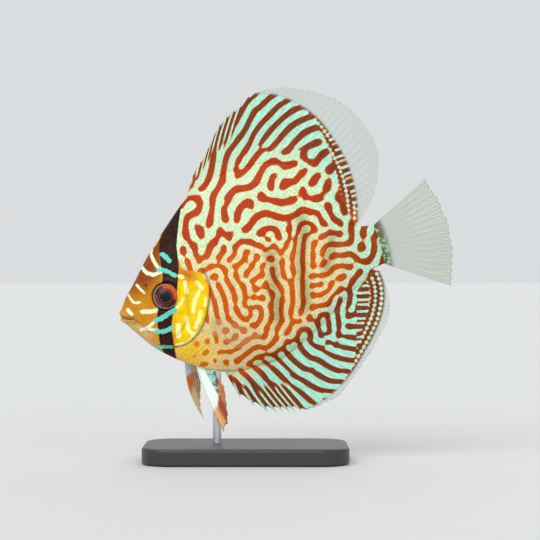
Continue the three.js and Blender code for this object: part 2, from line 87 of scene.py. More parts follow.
def ease(low, high, value):
    """A smooth step from 0 at the first edge to 1 at the second, whichever is the higher."""
    t = np.clip((value - low) / (high - low), 0, 1)
    return t * t * (3 - 2 * t)


def mix(a, b, t):
    return a + (b - a) * t


def bell(distance, reach):
    """1 at no distance, falling off smoothly over about the reach."""
    return np.exp(-((distance / reach) ** 2))


def smooth_line(points, scale=PART, steps=12):
    """Points of a smooth line through a few places, as in the solids' own curves."""
    p = np.array(points, float) * scale
    p = np.vstack([2 * p[0] - p[1], p, 2 * p[-1] - p[-2]])
    t = np.linspace(0, 1, steps, endpoint=False)[:, None]
    made = []
    for a, b, c, d in zip(p[:-3], p[1:-2], p[2:-1], p[3:]):
        k0, k1, k2 = (math.sqrt(np.linalg.norm(q - r)) for q, r in ((b, a), (c, b), (d, c)))
        out = k1 * ((b - a) / k0 - (c - a) / (k0 + k1) + (c - b) / k1)
        into = k1 * ((c - b) / k1 - (d - b) / (k1 + k2) + (d - c) / k2)
        rise = t * t * (3 - 2 * t)
        made.append(b + (c - b) * rise + out * t * (1 - t) ** 2 + into * t * t * (t - 1))
    return np.vstack(made + [p[-2:-1]])


def along(line):
    """A function that gives the place at a share of a line's length."""
    reach = np.concatenate([[0], np.cumsum(np.linalg.norm(np.diff(line, axis=0), axis=1))])

    def at(share):
        want = np.asarray(share) * reach[-1]
        return np.stack([np.interp(want, reach, column) for column in line.T], -1)

    return at


def distance_to(places, line):
    """How far each place is from a line of points, and on which side of it in the side view."""
    best = np.full(len(places), 1e9)
    side = np.zeros(len(places))
    for a, b in zip(line[:-1], line[1:]):
        step = b - a
        t = np.clip((places - a) @ step / max(step @ step, 1e-9), 0, 1)
        off = places - a - t[:, None] * step
        distance = np.linalg.norm(off, axis=1)
        nearer = distance < best
        best = np.where(nearer, distance, best)
        turn = step[0] * off[:, -1] - step[-1] * off[:, 0]
        side = np.where(nearer, np.sign(turn), side)
    return best, side


top_edge = curve_through(
    [(0.5, 1.3), (3.2, 5.1), (8.2, 10.2), (14.3, 16.8), (25.7, 27.2), (36.4, 35.5), (45.3, 39.2)]
    + [(56.6, 40.8), (67.9, 40), (77.4, 36.9), (86, 29.5), (91.7, 18.9), (94.4, 7.6), (100, 6)]
)
bottom_edge = curve_through(
    [(0.5, -3.6), (4.8, -10.2), (8.6, -15.5), (15.6, -22.2), (23, -27.4), (31.9, -31.8)]
    + [(39.6, -33.2), (51, -33.2), (60.8, -30.2), (71.7, -24.6), (81.1, -18.9)]
    + [(90.5, -13.2), (96.2, -9.8), (100, -9.1)]
)
width_share = curve_through(
    [(0.5, 0.17), (4.8, 0.4), (11, 0.62), (18.5, 0.8), (27, 0.94), (37, 1), (48, 0.96)]
    + [(64, 0.77), (80, 0.48), (90, 0.28), (95, 0.21), (100, 0.17)]
)
widest_height = curve_through([(0.5, -1.1), (18, 0.5), (40, 3), (72, 1.5), (100, -1.6)])
FIN_LEDGE = 1.2
NAPE_X, PELVIC_X, VENT_X = 36.4, 23.0, 31.9


def half_width(x, s):
    """Half the body's width in mm; s runs from -1 at the belly to 1 at the back."""
    back = mix(0.6, FIN_LEDGE, ease(NAPE_X - 7, NAPE_X - 1, x))
    chin = mix(1.2, 4.0, ease(1, PELVIC_X - 3, x))
    belly = mix(chin, FIN_LEDGE, ease(PELVIC_X + 4.5, VENT_X - 0.3, x))
    ledge = np.where(s > 0, back, belly)
    widest = BODY_THICKNESS / 2 * width_share(x)
    round_off = mix(0.55, 0.8, ease(10, 45, x))
    return ledge + np.maximum(0, widest - ledge) * np.clip(1 - s * s, 0, 1) ** round_off


def height_at(x, s):
    """The height of the hide's point at s, from -1 at the belly to 1 at the back."""
    middle = widest_height(x)
    return np.where(s > 0, mix(middle, top_edge(x), s), mix(middle, bottom_edge(x), -s))


def half_width_at(x, z):
    """Half the body's width in mm at a height."""
    middle = widest_height(x)
    span = np.where(z > middle, top_edge(x) - middle, middle - bottom_edge(x))
    return half_width(x, np.clip((z - middle) / span, -1, 1))


def in_object(places):
    """Places in the fish's frame, in mm, turned nose-down into the object's, in metres."""
    x, y, z = np.asarray(places, float).T
    c, s = math.cos(NOSE_DOWN), math.sin(NOSE_DOWN)
    return np.stack([x * c - z * s - MOUTH_FORWARD, y, x * s + z * c + MOUTH_HEIGHT], -1) / 1000


def give(mesh, name, values):
    """Stores one number, or three, on each point of a mesh for its material."""
    single = values.ndim == 1
    layer = mesh.attributes.new(name, "FLOAT" if single else "FLOAT_VECTOR", "POINT")
    layer.data.foreach_set("value" if single else "vector", values.astype("f").ravel())


def read(mesh, name):
    """The numbers that give() stored on a mesh's points."""
    layer = mesh.attributes[name]
    single = layer.data_type == "FLOAT"
    values = np.zeros(len(mesh.vertices) * (1 if single else 3), "f")
    layer.data.foreach_get("value" if single else "vector", values)
    return values if single else values.reshape(-1, 3)


def points_of(mesh):
    flat = np.zeros(len(mesh.vertices) * 3)
    mesh.vertices.foreach_get("co", flat)
    return flat.reshape(-1, 3)


def lay_points(mesh, places):
    mesh.vertices.foreach_set("co", in_object(places).astype("f").ravel())


def into_scene(name, data):
    made = bpy.data.objects.new(name, data)
    bpy.context.scene.collection.objects.link(made)
    return made


WELD = 2e-6  # metres


def closed_grid(name, columns, rows, place):
    """A grid whose points are laid by place(u, v), with meeting edges welded and ends closed."""
    bm = bmesh.new()
    bmesh.ops.create_grid(bm, x_segments=columns, y_segments=rows, size=0.5)
    mesh = bpy.data.meshes.new(name)
    bm.to_mesh(mesh)
    bm.free()
    u, v = np.clip(points_of(mesh)[:, :2].T + 0.5, 0, 1)
    places, extra = place(u, v)
    lay_points(mesh, places)
    give(mesh, "place", places)
    for key, values in extra.items():
        give(mesh, key, values)
    bm = bmesh.new()
    bm.from_mesh(mesh)
    bmesh.ops.remove_doubles(bm, verts=bm.verts, dist=WELD)
    open_edges = [edge for edge in bm.edges if edge.is_boundary]
    bmesh.ops.holes_fill(bm, edges=open_edges, sides=0)
    bmesh.ops.recalc_face_normals(bm, faces=bm.faces)
    for face in bm.faces:
        face.smooth = True
    bm.to_mesh(mesh)
    bm.free()
    return into_scene(name, mesh)


SNOUT_START, SNOUT_TIP, SNOUT_HEIGHT, TAIL_CLOSE = 0.5, -0.2, -1.15, 101.2
EYE_X, EYE_Z = 18.6, 1.7
RIM_RISE, RIM_RADIUS, RIM_SPREAD = 0.5, 7.3, 0.9
SOCKET_DEPTH, SOCKET_RADIUS, SOCKET_SPREAD = 0.5, 6.2, 0.45
NOSTRIL_X, NOSTRIL_Z, NOSTRIL_DEPTH, NOSTRIL_RADIUS = 12.4, 7.6, 0.9, 0.55
COVER_LIFT, SLIT_DEPTH, CREASE_DEPTH, FOLD_DEPTH = 0.75, 0.35, 0.28, 0.3
cover_edge = smooth_line(
    [(33.5, 8.6), (35, 5), (35.2, 0.5), (33.6, -4), (31.2, -8.8), (28.4, -12.8)]
    + [(24.8, -15.8), (20, -17.5), (14, -16.6), (9.5, -14.5)]
)
cover_front = smooth_line(
    [(33.5, 8.6), (28.6, 5), (26.2, 0), (25.4, -5), (23.2, -9.8), (19, -13.2), (13, -14.6)]
)
MOUTH_HALF, MOUTH_BACK = 4.3, 9


def lip_line(front, height, back, drop):
    """The line of a lip, or of the mouth between them, round the front of the snout."""
    y = np.linspace(-1, 1, 25)
    share = np.abs(y)
    return np.stack([front + back * share**2.2, y * MOUTH_HALF, height - drop * share**1.5], -1)


upper_lip = lip_line(0.6, 0.55, 5.0, 3.0)
lower_lip = lip_line(0.2, -2.5, 5.2, 2.3)
mouth_line = lip_line(-0.6, -0.95, 6.0, 3.3)
# each line round the mouth, how far it spreads and how high it stands
MOUTH_RELIEF = ((upper_lip, 1.0, 1.25), (lower_lip, 1.0, 1.3), (mouth_line, 0.5, -1.3))
jaw_fold = smooth_line([(1.4, 0.6), (4.6, -2.6), (8, -7.4), (10.8, -11.8)], 1, 6)


def plain_hide(u, rise):
    """The plain hide at a share of its length, and of the way up its side from the belly."""
    x = curve_through([(0, SNOUT_TIP), (0.035, 0.5), (0.45, 38), (0.97, 100), (1, TAIL_CLOSE)])(u)
    s = 0.82 * (2 * rise - 1) - 0.18 * np.cos(np.pi * rise)
    on_body = np.clip(x, SNOUT_START, 100)
    z = height_at(on_body, s)
    side = half_width(on_body, s)
    # the snout and the root of the tail fin are rounded shut
    front = np.sqrt(np.clip(1 - ((on_body - x) / (SNOUT_START - SNOUT_TIP)) ** 2, 0, 1))
    shut = np.where(x < SNOUT_START, front, 1 - 0.6 * ease(100, TAIL_CLOSE, x))
    side = side * np.where(x > 100, shut, 0.25 + 0.75 * shut)
    z = np.where(x < SNOUT_START, mix(SNOUT_HEIGHT, z, shut), z)
    return x, side, z


def relief_at(x, z, flat):
    """How far the side of the head stands out from the plain hide, and how dark its folds are.

    The places come twice, as x and z in hundredths of the body's length and as flat in mm.
    """
    from_eye = np.linalg.norm(flat - np.array([EYE_X, EYE_Z]) * PART, axis=1)
    rim = RIM_RISE * bell(from_eye - RIM_RADIUS, RIM_SPREAD)
    socket = SOCKET_DEPTH * bell(from_eye - SOCKET_RADIUS, SOCKET_SPREAD)
    edge_gap, edge_side = distance_to(flat, cover_edge)
    ahead = ease(-0.1, 0.3, edge_gap * -edge_side) * ease(9.5, 7.5, z)
    behind = (x - 25) * 0.75 - (z + 4) * 0.45
    cover = COVER_LIFT * ease(-1, 7, behind) * ahead * (x < 40) * (x > 8)
    slit = bell(edge_gap - 0.25 * edge_side, 0.45) * ease(9, 6.5, z) * ease(8, 15, x)
    front_gap, _ = distance_to(flat, cover_front)
    crease = CREASE_DEPTH * bell(front_gap, 0.7) * ease(9, 5, z)
    from_nostril = np.linalg.norm(flat - np.array([NOSTRIL_X, NOSTRIL_Z]) * PART, axis=1)
    pit = NOSTRIL_DEPTH * bell(from_nostril, NOSTRIL_RADIUS) - 0.22 * bell(from_nostril - 1.05, 0.4)
    jaw_gap, _ = distance_to(flat, jaw_fold)
    fold = bell(jaw_gap, 0.5) * ease(1.5, 4, flat[:, 0])
    raised = rim - socket + cover - SLIT_DEPTH * slit - crease - pit - FOLD_DEPTH * fold
    shade = np.clip(0.8 * slit + 0.35 * bell(front_gap, 0.6) * ease(8, 3, z), 0, 1)
    shade = np.maximum(shade, np.maximum(bell(from_nostril, 0.6), 0.45 * fold))
    return raised, shade


def skin_place(u, v):
    """The hide's points: u from snout to tail, v round from the belly, up the left side first."""
    sign = np.where(v < 0.5, -1.0, 1.0)
    rise = np.where(v < 0.5, v, 1 - v) * 2
    ends = (rise < 1e-6) | (rise > 1 - 1e-6)
    x, side, z = plain_hide(u, rise)
    places = np.stack([x * PART, np.where(ends, 0, sign * side), z * PART], -1)
    out = np.stack([np.where(x < 2, -1.0, 0.15), sign, 0 * z], -1)
    out /= np.linalg.norm(out, axis=1)[:, None]
    near = x < MOUTH_BACK
    lift = np.zeros(len(u))
    for line, reach, height in MOUTH_RELIEF:
        lift[near] += height * bell(distance_to(places[near], line)[0], reach)
    places += out * lift[:, None]
    raised, shade = relief_at(x, z, places[:, [0, 2]])
    places[:, 1] += np.where(ends, 0, sign * raised)
    shade[near] = np.maximum(shade[near], bell(distance_to(places[near], mouth_line)[0], 0.5))
    return places, {"shade": shade}


SKIN_STEPS = 290
skin = closed_grid("skin", SKIN_STEPS, SKIN_STEPS, skin_place)

# The markings: dark wandering lines on a pale ground, which are colour in the skin and in the
# fins' membranes. They are drawn as one sheet over the side view, in mm, that the skin and the
# tall fins share, so that each line runs on from body to fin.
STEP = 0.5
SHEET_FRONT, SHEET_BACK, SHEET_LOW, SHEET_HIGH = -6.0, 146.0, -76.0, 92.0
sheet_x, sheet_z = np.meshgrid(
    np.arange(SHEET_FRONT, SHEET_BACK, STEP), np.arange(SHEET_LOW, SHEET_HIGH, STEP)
)
sheet = np.stack([sheet_x.ravel(), sheet_z.ravel()], -1)

# The lines that stand out most, front to back, and half their width in each region
MARKS = {
    "crest": [
        [(47.3, 49.6), (49.5, 52.8), (52.3, 57.8)],
        [(51.8, 51.5), (53.2, 55.1), (56, 60)],
        [(51.4, 46.5), (55, 47.4), (59, 51.5), (61.8, 57.8), (63.6, 64.2), (65, 67.8), (69, 75)],
        [(68.6, 65.5), (71, 70.5), (73.2, 76)],
        [(50.9, 27.4), (55, 35), (56.4, 40.5), (60, 44.2), (63.2, 48.7), (66.4, 54.6)]
        + [(70, 59.6), (74.5, 62.8), (78.6, 64.6), (82.7, 69.6), (87, 77)],
        [(70, 50.1), (72.7, 48.7), (76.4, 50.5), (80.9, 53.7), (84.5, 55.5), (90, 56)]
        + [(93.6, 58.7), (97.3, 61.5), (100.9, 63.7), (106.4, 64.4), (112, 64.6)],
        [(76.4, 56.9), (79.5, 59.6), (82.7, 64.2), (86.4, 66.9), (91.8, 69.2), (98, 74)],
        [(84.5, 58.7), (88.2, 61.5), (92.7, 65.1), (98.2, 67.4), (105, 71)],
        [(94.1, 51.9), (98.2, 53.3), (102.7, 56), (105.5, 58.7), (111.8, 59.6)],
        [(100.5, 51), (105.5, 51.9), (111.8, 51.9)],
        [(102.7, 48.3), (104, 45), (107.3, 42.8), (110, 46), (114, 47)],
    ],
    "back": [
        [(62.7, 38.3), (64.5, 40), (69, 41), (76.4, 40.5), (80, 43.3), (83.6, 48.3)]
        + [(88.2, 49.2), (93.6, 46.4), (98.2, 45)],
        [(84, 36.5), (86.4, 42.4)],
        [(88.6, 36.5), (90, 39.2), (95.5, 36.6), (97.3, 38.3), (101.8, 41)],
        [(102.3, 34.2), (107.3, 36.5)],
        [(97.7, 27.8), (98.2, 33.3)],
        [(78.6, 36), (79.4, 33.4), (81.8, 32.4), (86.4, 29.2), (93.6, 28.7)],
        [(64.5, 27.4), (65, 30.5), (69, 32.8), (72.3, 34), (72.7, 30.5)],
        [(60, 28.3), (60, 34.2)],
        [(100, 27.8), (101.8, 26.5), (105.5, 26.9)],
        [(108.2, 29.2), (110.5, 33.3)],
        [(39.5, 41.8), (44, 43.2), (47.3, 43), (50.6, 40.2), (49.5, 37), (44.5, 35.5), (41.8, 32.4)]
        + [(40.5, 26.9), (41.4, 20.5), (43.2, 14.4), (48.2, 17), (52.7, 19.8), (55.9, 25.3)],
        [(56.4, 23.5), (59, 19.4)],
        [(45, 30.5), (46.4, 25.1)],
        [(37.2, 21.5), (37.6, 19.8)],
        [(37.3, 14.8), (37.7, 9.4)],
        [(67.3, 21.2), (69.5, 22.5), (73.6, 25.3), (78.2, 26.6), (81.8, 24.4), (84.5, 22)]
        + [(91.8, 21.6), (95.5, 23.9), (98.2, 20.7)],
        [(72.7, 18), (79, 18.5), (81.4, 14.4)],
        [(60, 15.7), (64.5, 16.6), (69, 14.4), (72.7, 11.6)],
    ],
    "flank": [
        [(40.5, 8.5), (45.5, 8.9), (49.5, 9.4), (51.8, 8.5), (53.2, 5.3)],
        [(51.4, 11.2), (52.7, 13), (55.9, 14.4)],
        [(57.3, 7.1), (60.9, 7.5), (64, 9.8), (64, 6.6)],
        [(73.6, 9.8), (78.2, 10.7), (79.5, 6.6)],
        [(88.2, 19.4), (86.8, 14.4), (84.5, 9.8), (80.9, 7.5)],
        [(90.9, 15.3), (88.2, 10.7), (86.4, 6.2), (84.5, 2.5)],
        [(101.8, 20.3), (102.7, 14.4)],
        [(106.8, 22.5), (107.7, 16.2), (110.9, 11.6)],
        [(100, 8.5), (105.5, 9.4), (109, 7.1)],
        [(92.7, 11.6), (90, 5.3), (88.2, -2), (86.4, -8.4), (84.5, -14.7), (83.6, -19.3)]
        + [(80.9, -22.9)],
        [(35.6, -23.8), (37.4, -22.4)],
        [(32.6, -28.7), (34.6, -27.5)],
        [(30.4, -23.3), (31.2, -22.7)],
        [(39.6, -30.2), (42, -30), (44.6, -30.8)],
        [(29.8, -33), (32.8, -33.6)],
        [(39.8, -24.6), (40.2, -21)],
        [(52.7, -12), (54, -16.5), (56.4, -19.3)],
        [(60, -13.8), (63.2, -14.7), (63.6, -18.4), (60.9, -21.5), (57.3, -21.5)],
        [(44.5, -6.5), (43.6, -12.9), (43.6, -16.5)],
        [(48.2, 0.7), (49, -6.5), (48.6, -12)],
        [(73.6, 0.7), (74.5, -5.6), (75.5, -10.2)],
        [(61.4, 0.7), (64.5, 4.4), (69, 7.5)],
        [(63.6, -2), (66.4, -1.5), (70, -0.2)],
        [(90, -7.5), (93.6, -8.4), (99, -8.4), (101.8, -6.5), (107.3, -7.5)],
        [(89, -15.6), (91.8, -16.5), (97.3, -16), (99, -13.8)],
        [(86.6, -21.4), (94.4, -22.3), (99.4, -18.2), (102.5, -17.3), (105.7, -19), (104.4, -25)],
    ],
    "keel": [
        [(84.4, -25.5), (86.6, -28.2), (87.5, -29.5)],
        [(89.8, -26.4), (92, -26.4), (93, -31), (91.2, -35.5), (88, -34.5), (88.2, -29)]
        + [(89.8, -26.4)],
        [(100.3, -21.8), (98, -27.3), (96.6, -33.6), (95.3, -38.2), (92.5, -42.7)],
        [(82.5, -38.6), (86.2, -41), (90.7, -39.5)],
        [(106.2, -20), (107, -16.4), (110.7, -13.6), (113.5, -11.8)],
        [(102.5, -30.5), (106.2, -29.5), (108, -26.4)],
        [(76, -34.4), (77.8, -39.8), (79.6, -44.4), (84.2, -46.2), (86.9, -50.7), (90.5, -54.4)],
        [(50.5, -39.8), (54.2, -37.5), (58.7, -36.6), (63.3, -37.5), (67.8, -36.6), (71.5, -34.4)]
        + [(76, -33.5), (79.6, -30.3), (82.4, -32.5), (83.3, -34.4), (81.9, -37)],
        [(46, -36.2), (51.5, -34.4), (56.9, -32.5), (61.5, -34.4), (66.9, -30.7)],
        [(41.5, -42.5), (43.7, -48)],
        [(43.3, -44.4), (46, -50.7), (47.6, -56)],
        [(46.9, -42), (49.6, -46), (51.5, -51.6), (54.2, -57), (55.5, -62.5), (57.8, -66.5)],
        [(53.3, -41.6), (56.5, -44.4), (57.4, -48), (59.2, -53.5), (61.5, -59), (64.2, -66)],
        [(62, -44), (65, -48), (67.8, -54.4), (70.5, -59), (73.4, -64)],
        [(58.7, -50.7), (63.3, -53.5), (66, -57), (68.7, -62.5), (69.6, -67)],
        [(69.6, -37.5), (70, -42.5), (72.4, -45.3), (75, -49), (79.6, -49.4)],
        [(68.7, -49.8), (72.4, -52.5), (76, -57), (81.5, -60.7), (87.5, -63)],
        [(79.6, -50.7), (82.4, -54.4), (86, -58), (90.5, -58.8)],
    ],
}
MARK_HALF = {"crest": 0.95, "back": 1.15, "flank": 0.8, "keel": 0.9}
dorsal_edge = smooth_line(
    [(38.6, 39.5), (42.2, 45.7), (47, 49.6), (51.5, 54.3), (57, 60.5), (71.7, 66.4)]
    + [(84.9, 64.8), (98.8, 57.3), (107.5, 45.3), (110.1, 34), (107.5, 22.6), (101.1, 13.2)]
    + [(98.2, 10.8)]
)
anal_edge = smooth_line(
    [(33.2, -37.2), (34.8, -43.4), (38.4, -47), (43, -50.8), (52.3, -53.8), (64.4, -54)]
    + [(71.8, -51.9), (77.1, -48.2), (84.7, -42), (90.5, -36.3), (97.4, -28.6), (99.5, -19.4)]
    + [(98.6, -11.4)]
)
# where the colour ends and the clear hem of each tall fin begins
dorsal_hem = smooth_line(
    [(86, 83), (98, 79), (107, 72), (114, 63), (118.5, 52), (121.5, 40), (122, 29), (120.6, 18)]
    + [(118.6, 11)],
    1,
)
anal_hem = smooth_line(
    [(70, -67.5), (82, -64.5), (91, -60), (98, -55), (105, -48.5), (111, -42.5), (117, -35)]
    + [(121, -27), (122.4, -20), (122, -13.5)],
    1,
)

# The spacings in mm and the ways to lie that waves are sorted by, and how strongly they grow
SPACINGS = (4.3, 5.1, 6.1, 7.3)
LIES = np.radians(np.arange(0, 180, 22.5))
ROUNDS, GROWTH, LAID_GROWTH, GUIDE_STRENGTH = 26, 2.3, 1.7, 0.9


def local_lines(x, z):
    """How far apart the lines lie, which way, how firmly they keep it and how pale it is."""
    above = ease(44, 52, z - 0.16 * (x - 60))
    below = ease(-34, -44, z)
    flank = ease(24, 14, z) * (1 - below) * ease(116, 100, x)
    spacing = 5.7 + 1.3 * ease(10, 24, z) * (1 - above) - flank - 0.3 * below
    in_dorsal = np.radians(mix(62, 12, ease(55, 118, x)))
    in_anal = np.radians(mix(-68, -26, ease(52, 112, x)))
    on_flank = np.radians(80)
    lie = np.where(z > 20, in_dorsal, np.where(z < -30, in_anal, on_flank))
    firm = np.clip(above + below + 0.06 * flank, 0, 1)
    paler = 0.34 - 0.14 * flank + 0.26 * below + 0.08 * above
    paler += 0.95 * ease(48, 37, x) * ease(-8, -16, z) - 0.25 * ease(97, 106, x)
    return spacing, lie, firm, paler


def wander(seed, guide):
    """Wandering lines grown from noise: each round keeps waves of the local spacing and lie."""
    spacing, lie, firm, paler = local_lines(sheet_x, sheet_z)
    share = [bell(np.log(spacing / gap), 0.16) for gap in SPACINGS]
    fit = [bell(np.sin(lie - turn), 0.38) for turn in LIES]
    share_total, fit_total = sum(share), sum(fit)
    across = np.fft.fftfreq(sheet_x.shape[1], STEP)[None, :]
    up = np.fft.fftfreq(sheet_x.shape[0], STEP)[:, None]
    rate, heading = np.hypot(across, up), np.arctan2(up, across)
    rings = [bell(rate - 1 / gap, 0.26 / gap) for gap in SPACINGS]
    fans = [bell(np.cos(heading - turn), 0.42) for turn in LIES]
    lines = np.random.default_rng(seed).normal(0, 0.3, sheet_x.shape)
    for _ in range(ROUNDS):
        wave = np.fft.fft2(lines)
        grown = np.zeros(lines.shape)
        for ring, part in zip(rings, share):
            plain = np.fft.ifft2(wave * ring).real
            laid = np.zeros(lines.shape)
            for fan, fits in zip(fans, fit):
                laid += np.fft.ifft2(wave * ring * fan).real * fits / fit_total
            grown += mix(plain, LAID_GROWTH * laid, firm) * part / share_total
        lines = np.tanh(GROWTH * grown - paler + GUIDE_STRENGTH * guide)
    return lines


def guide_along(marks):
    """A push to dark along each line that stands out, and to pale on both sides of it."""
    push = np.zeros(len(sheet))
    for region, lines in marks.items():
        half = MARK_HALF[region]
        for mark in lines:
            line = smooth_line(mark, 1, 5)
            low, high = line.min(0) - 9, line.max(0) + 9
            near = np.all((sheet > low) & (sheet < high), axis=1)
            gap, _ = distance_to(sheet[near], line)
            pushed = 1.5 * bell(gap, half) - 0.75 * bell(gap - 2.6 * half, 1.1 * half)
            push[near] = np.where(np.abs(pushed) > np.abs(push[near]), pushed, push[near])
    push = push.reshape(sheet_x.shape)
    return np.where(push < 0, 0.8 * push, push)


def above_back(x, z):
    """How far a place of the side view lies above the body's outline, in mm."""
    return z - top_edge(x / PART) * PART


def below_belly(x, z):
    return bottom_edge(x / PART) * PART - z


DOT_ROWS, DOT_STEP, DOT_BAND, DOTS_START = 2.9, 2.5, 7, 0.25


def dotted_hem(lines, hem, outward, full):
    """Rows of pale dots on dark along the rear edge of a tall fin, side by side with its hem."""
    gap, side = distance_to(sheet, hem)
    steps = np.linalg.norm(np.diff(hem, axis=0), axis=1)
    reach = np.concatenate([[0], np.cumsum(steps)])
    nearest = np.argmin(np.linalg.norm(sheet[:, None] - hem[None, ::3], axis=2), axis=1) * 3
    onward = hem[np.minimum(nearest + 1, len(hem) - 1)] - hem[np.maximum(nearest - 1, 0)]
    onward /= np.linalg.norm(onward, axis=1)[:, None]
    down_hem = reach[nearest] + np.sum((sheet - hem[nearest]) * onward, axis=1)
    inside = -gap * side * outward
    rows = np.cos(2 * np.pi * (inside - 1.3) / DOT_ROWS)
    # every other row is set half a step on
    row = np.floor((inside + 0.15) / DOT_ROWS)
    beads = np.cos(2 * np.pi * (down_hem / DOT_STEP + row / 2))
    dots = -np.clip(1.6 * (rows + 0.75 * beads - 0.15), -1, 1)
    share = down_hem / reach[-1]
    depth = DOT_BAND * ease(DOTS_START, full, share)
    keep = ease(depth + 1.2, depth - 1.2, inside)
    keep *= ease(DOTS_START - 0.05, DOTS_START + 0.1, share)
    keep *= ease(0.5, 3, np.maximum(above_back(*sheet.T), below_belly(*sheet.T)))
    return mix(lines.ravel(), dots, keep).reshape(lines.shape)


def with_hems(lines):
    """The lines, with the rows of dots along both tall fins."""
    lines = dotted_hem(lines, dorsal_hem, 1, 0.8)
    return dotted_hem(lines, anal_hem, -1, 0.75)


LEFT_SEED, RIGHT_SEED = 7, 19
guide = guide_along(MARKS)
left_sheet = wander(LEFT_SEED, guide)
# the right side keeps to the left side's lines where the two meet, near the outline
near_back = ease(-9, -3, above_back(sheet_x, sheet_z))
near_belly = ease(-9, -3, below_belly(sheet_x, sheet_z))
edge_band = np.clip(near_back + near_belly, 0, 1)
right_sheet = with_hems(wander(RIGHT_SEED, (guide + left_sheet) * edge_band))
left_sheet = with_hems(left_sheet)


def on_sheet(values, x, z):
    """A sheet's value at places of the side view, blended from its four nearest points."""
    i = np.clip((x - SHEET_FRONT) / STEP, 0, values.shape[1] - 1.001)
    j = np.clip((z - SHEET_LOW) / STEP, 0, values.shape[0] - 1.001)
    i0, j0 = i.astype(int), j.astype(int)
    a, b = i - i0, j - j0
    low = values[j0, i0] * (1 - a) + values[j0, i0 + 1] * a
    high = values[j0 + 1, i0] * (1 - a) + values[j0 + 1, i0 + 1] * a
    return low * (1 - b) + high * b


def lines_at(places):
    """How dark the lines are at places on the fish, from the sheet of the side each lies on."""
    x, y, z = places.T
    return np.where(y > 0, on_sheet(right_sheet, x, z), on_sheet(left_sheet, x, z))


# The face is bare of these lines. Its own colour in the skin is a dark bar through the eye, with
# pale and blue-green streaks over the brow and the cheek. Faint grey bars cross the flank. Each
# is given as a line in mm and half its width.
EYE_BAR = (
    [(40, 43, 2.4), (36.5, 37.5, 3), (33, 31, 3.9), (30.2, 24, 4.2), (29.2, 18, 4.2)]
    + [(28.2, 12, 3.8), (26, 6, 3.7), (23.4, 0, 3.9), (20.3, -6, 3.6), (18.5, -12, 3.2)]
    + [(17.5, -18, 3.3), (17.3, -24, 2.6), (17.2, -29, 2.2)]
)
BLUE_STREAKS = [
    ([(22.9, 14.9), (26, 13.8), (30, 10.2)], 1.0),
    ([(26.5, 21.5), (27.8, 20.2), (29.2, 17.5)], 1.05),
    ([(15.5, -7.5), (18.7, -7), (23.3, -5.5), (25.5, -5)], 1.1),
    ([(14.2, -12.4), (17.8, -13.3), (21.5, -12.7)], 1.05),
    ([(11, -19.4), (15.5, -20.3), (19.2, -21.2)], 0.7),
]
PALE_STREAKS = [
    ([(31.9, 34.7), (29.6, 32), (25, 27.9), (21.9, 24.7), (21.9, 20.2), (23.3, 16), (25, 14.3)], 0.8),
    ([(15.5, 18.4), (17.4, 15.2), (20.5, 13.4), (24.2, 13.8), (28, 12), (33, 8.6)], 0.95),
    ([(11, 11), (13.7, 6.5)], 0.6),
    ([(6, 7.5), (7.8, 3.4), (10.5, 2.8)], 0.6),
    ([(3.9, 1), (5, -1.4)], 0.95),
    ([(10.5, -1.8), (14, -2.6), (17.4, -3)], 1.05),
    ([(9.2, -9.8), (12.8, -8.7), (15.5, -7.3)], 0.75),
    ([(7.4, -9.6), (9.6, -9.8), (12.8, -11.2), (15.5, -12.4)], 0.8),
    ([(25.5, -5), (28.2, -3.6), (30.6, -1.2)], 0.75),
    ([(33.4, 5.8), (33.1, 1.3)], 1.0),
    ([(38.8, 4.5), (40.6, 1)], 0.8),
    ([(38.7, 0.2), (35.7, -3.4), (33.4, -8.1)], 0.95),
    ([(40.6, -3.6), (39.6, -6.8)], 0.7),
    ([(36.8, -9.2), (35.2, -12), (32.4, -15.4)], 1.0),
    ([(29.8, -10), (28.9, -15.6), (31, -19.2)], 0.95),
    ([(25, -12.5), (23.6, -17)], 1.3),
    ([(21.5, -21), (27, -21), (31.6, -17.8)], 0.55),
]
GREY_BARS = [
    ([(75, 8), (74.5, -2), (71.8, -7.5), (72, -14), (70, -22)], 2.6),
    ([(93.6, 20), (92.7, 13.5), (89, 3.5), (87, -6), (86, -14), (84, -20)], 2.6),
    ([(105.5, 8), (102, 0), (99, -6)], 2.4),
]


def stroke_on(flat, line, half, soft):
    """How fully each place lies in a stroke of colour, with a soft edge."""
    low, high = line.min(0) - 8, line.max(0) + 8
    near = np.all((flat > low) & (flat < high), axis=1)
    made = np.zeros(len(flat))
    if near.any():
        gap, _ = distance_to(flat[near], line)
        made[near] = ease(half + soft, half - soft, gap)
    return made


def strokes_on(flat, strokes, soft):
    """The same for a set of strokes, each a line and half its width."""
    made = np.zeros(len(flat))
    for mark, half in strokes:
        made = np.maximum(made, stroke_on(flat, smooth_line(mark, 1, 4), half, soft))
    return made


places = read(skin.data, "place")
flat = places[:, [0, 2]].astype(float)
bar_line = smooth_line(EYE_BAR, 1, 4)
bar = np.zeros(len(flat))
for piece in zip(bar_line[:-1], bar_line[1:]):
    x_and_z, half = np.array(piece)[:, :2], np.array(piece)[:, 2].mean()
    bar = np.maximum(bar, stroke_on(flat, x_and_z, half, 0.5))
x, z = flat.T
near = x < MOUTH_BACK
lip = np.zeros(len(flat))
for line, reach in ((upper_lip, 1.15), (lower_lip, 1.25)):
    lip[near] = np.maximum(lip[near], bell(distance_to(places[near], line)[0], reach))
face_edge = curve_through(
    [(-36, 20), (-30, 20), (-24, 20), (-18, 32), (-13, 38), (-6, 41.5), (1, 43.5), (8, 42)]
    + [(11, 36), (14, 33.4), (19, 32.6), (28, 33.6), (36, 37), (44, 42)]
)
face = ease(0.8, -0.8, x - face_edge(z))
off_ridge = ease(0.4, 2, np.abs(places[:, 1]) + ease(14, 6, x))
keel = ease(-10, 0, below_belly(x, z)) * ease(46, 66, x)
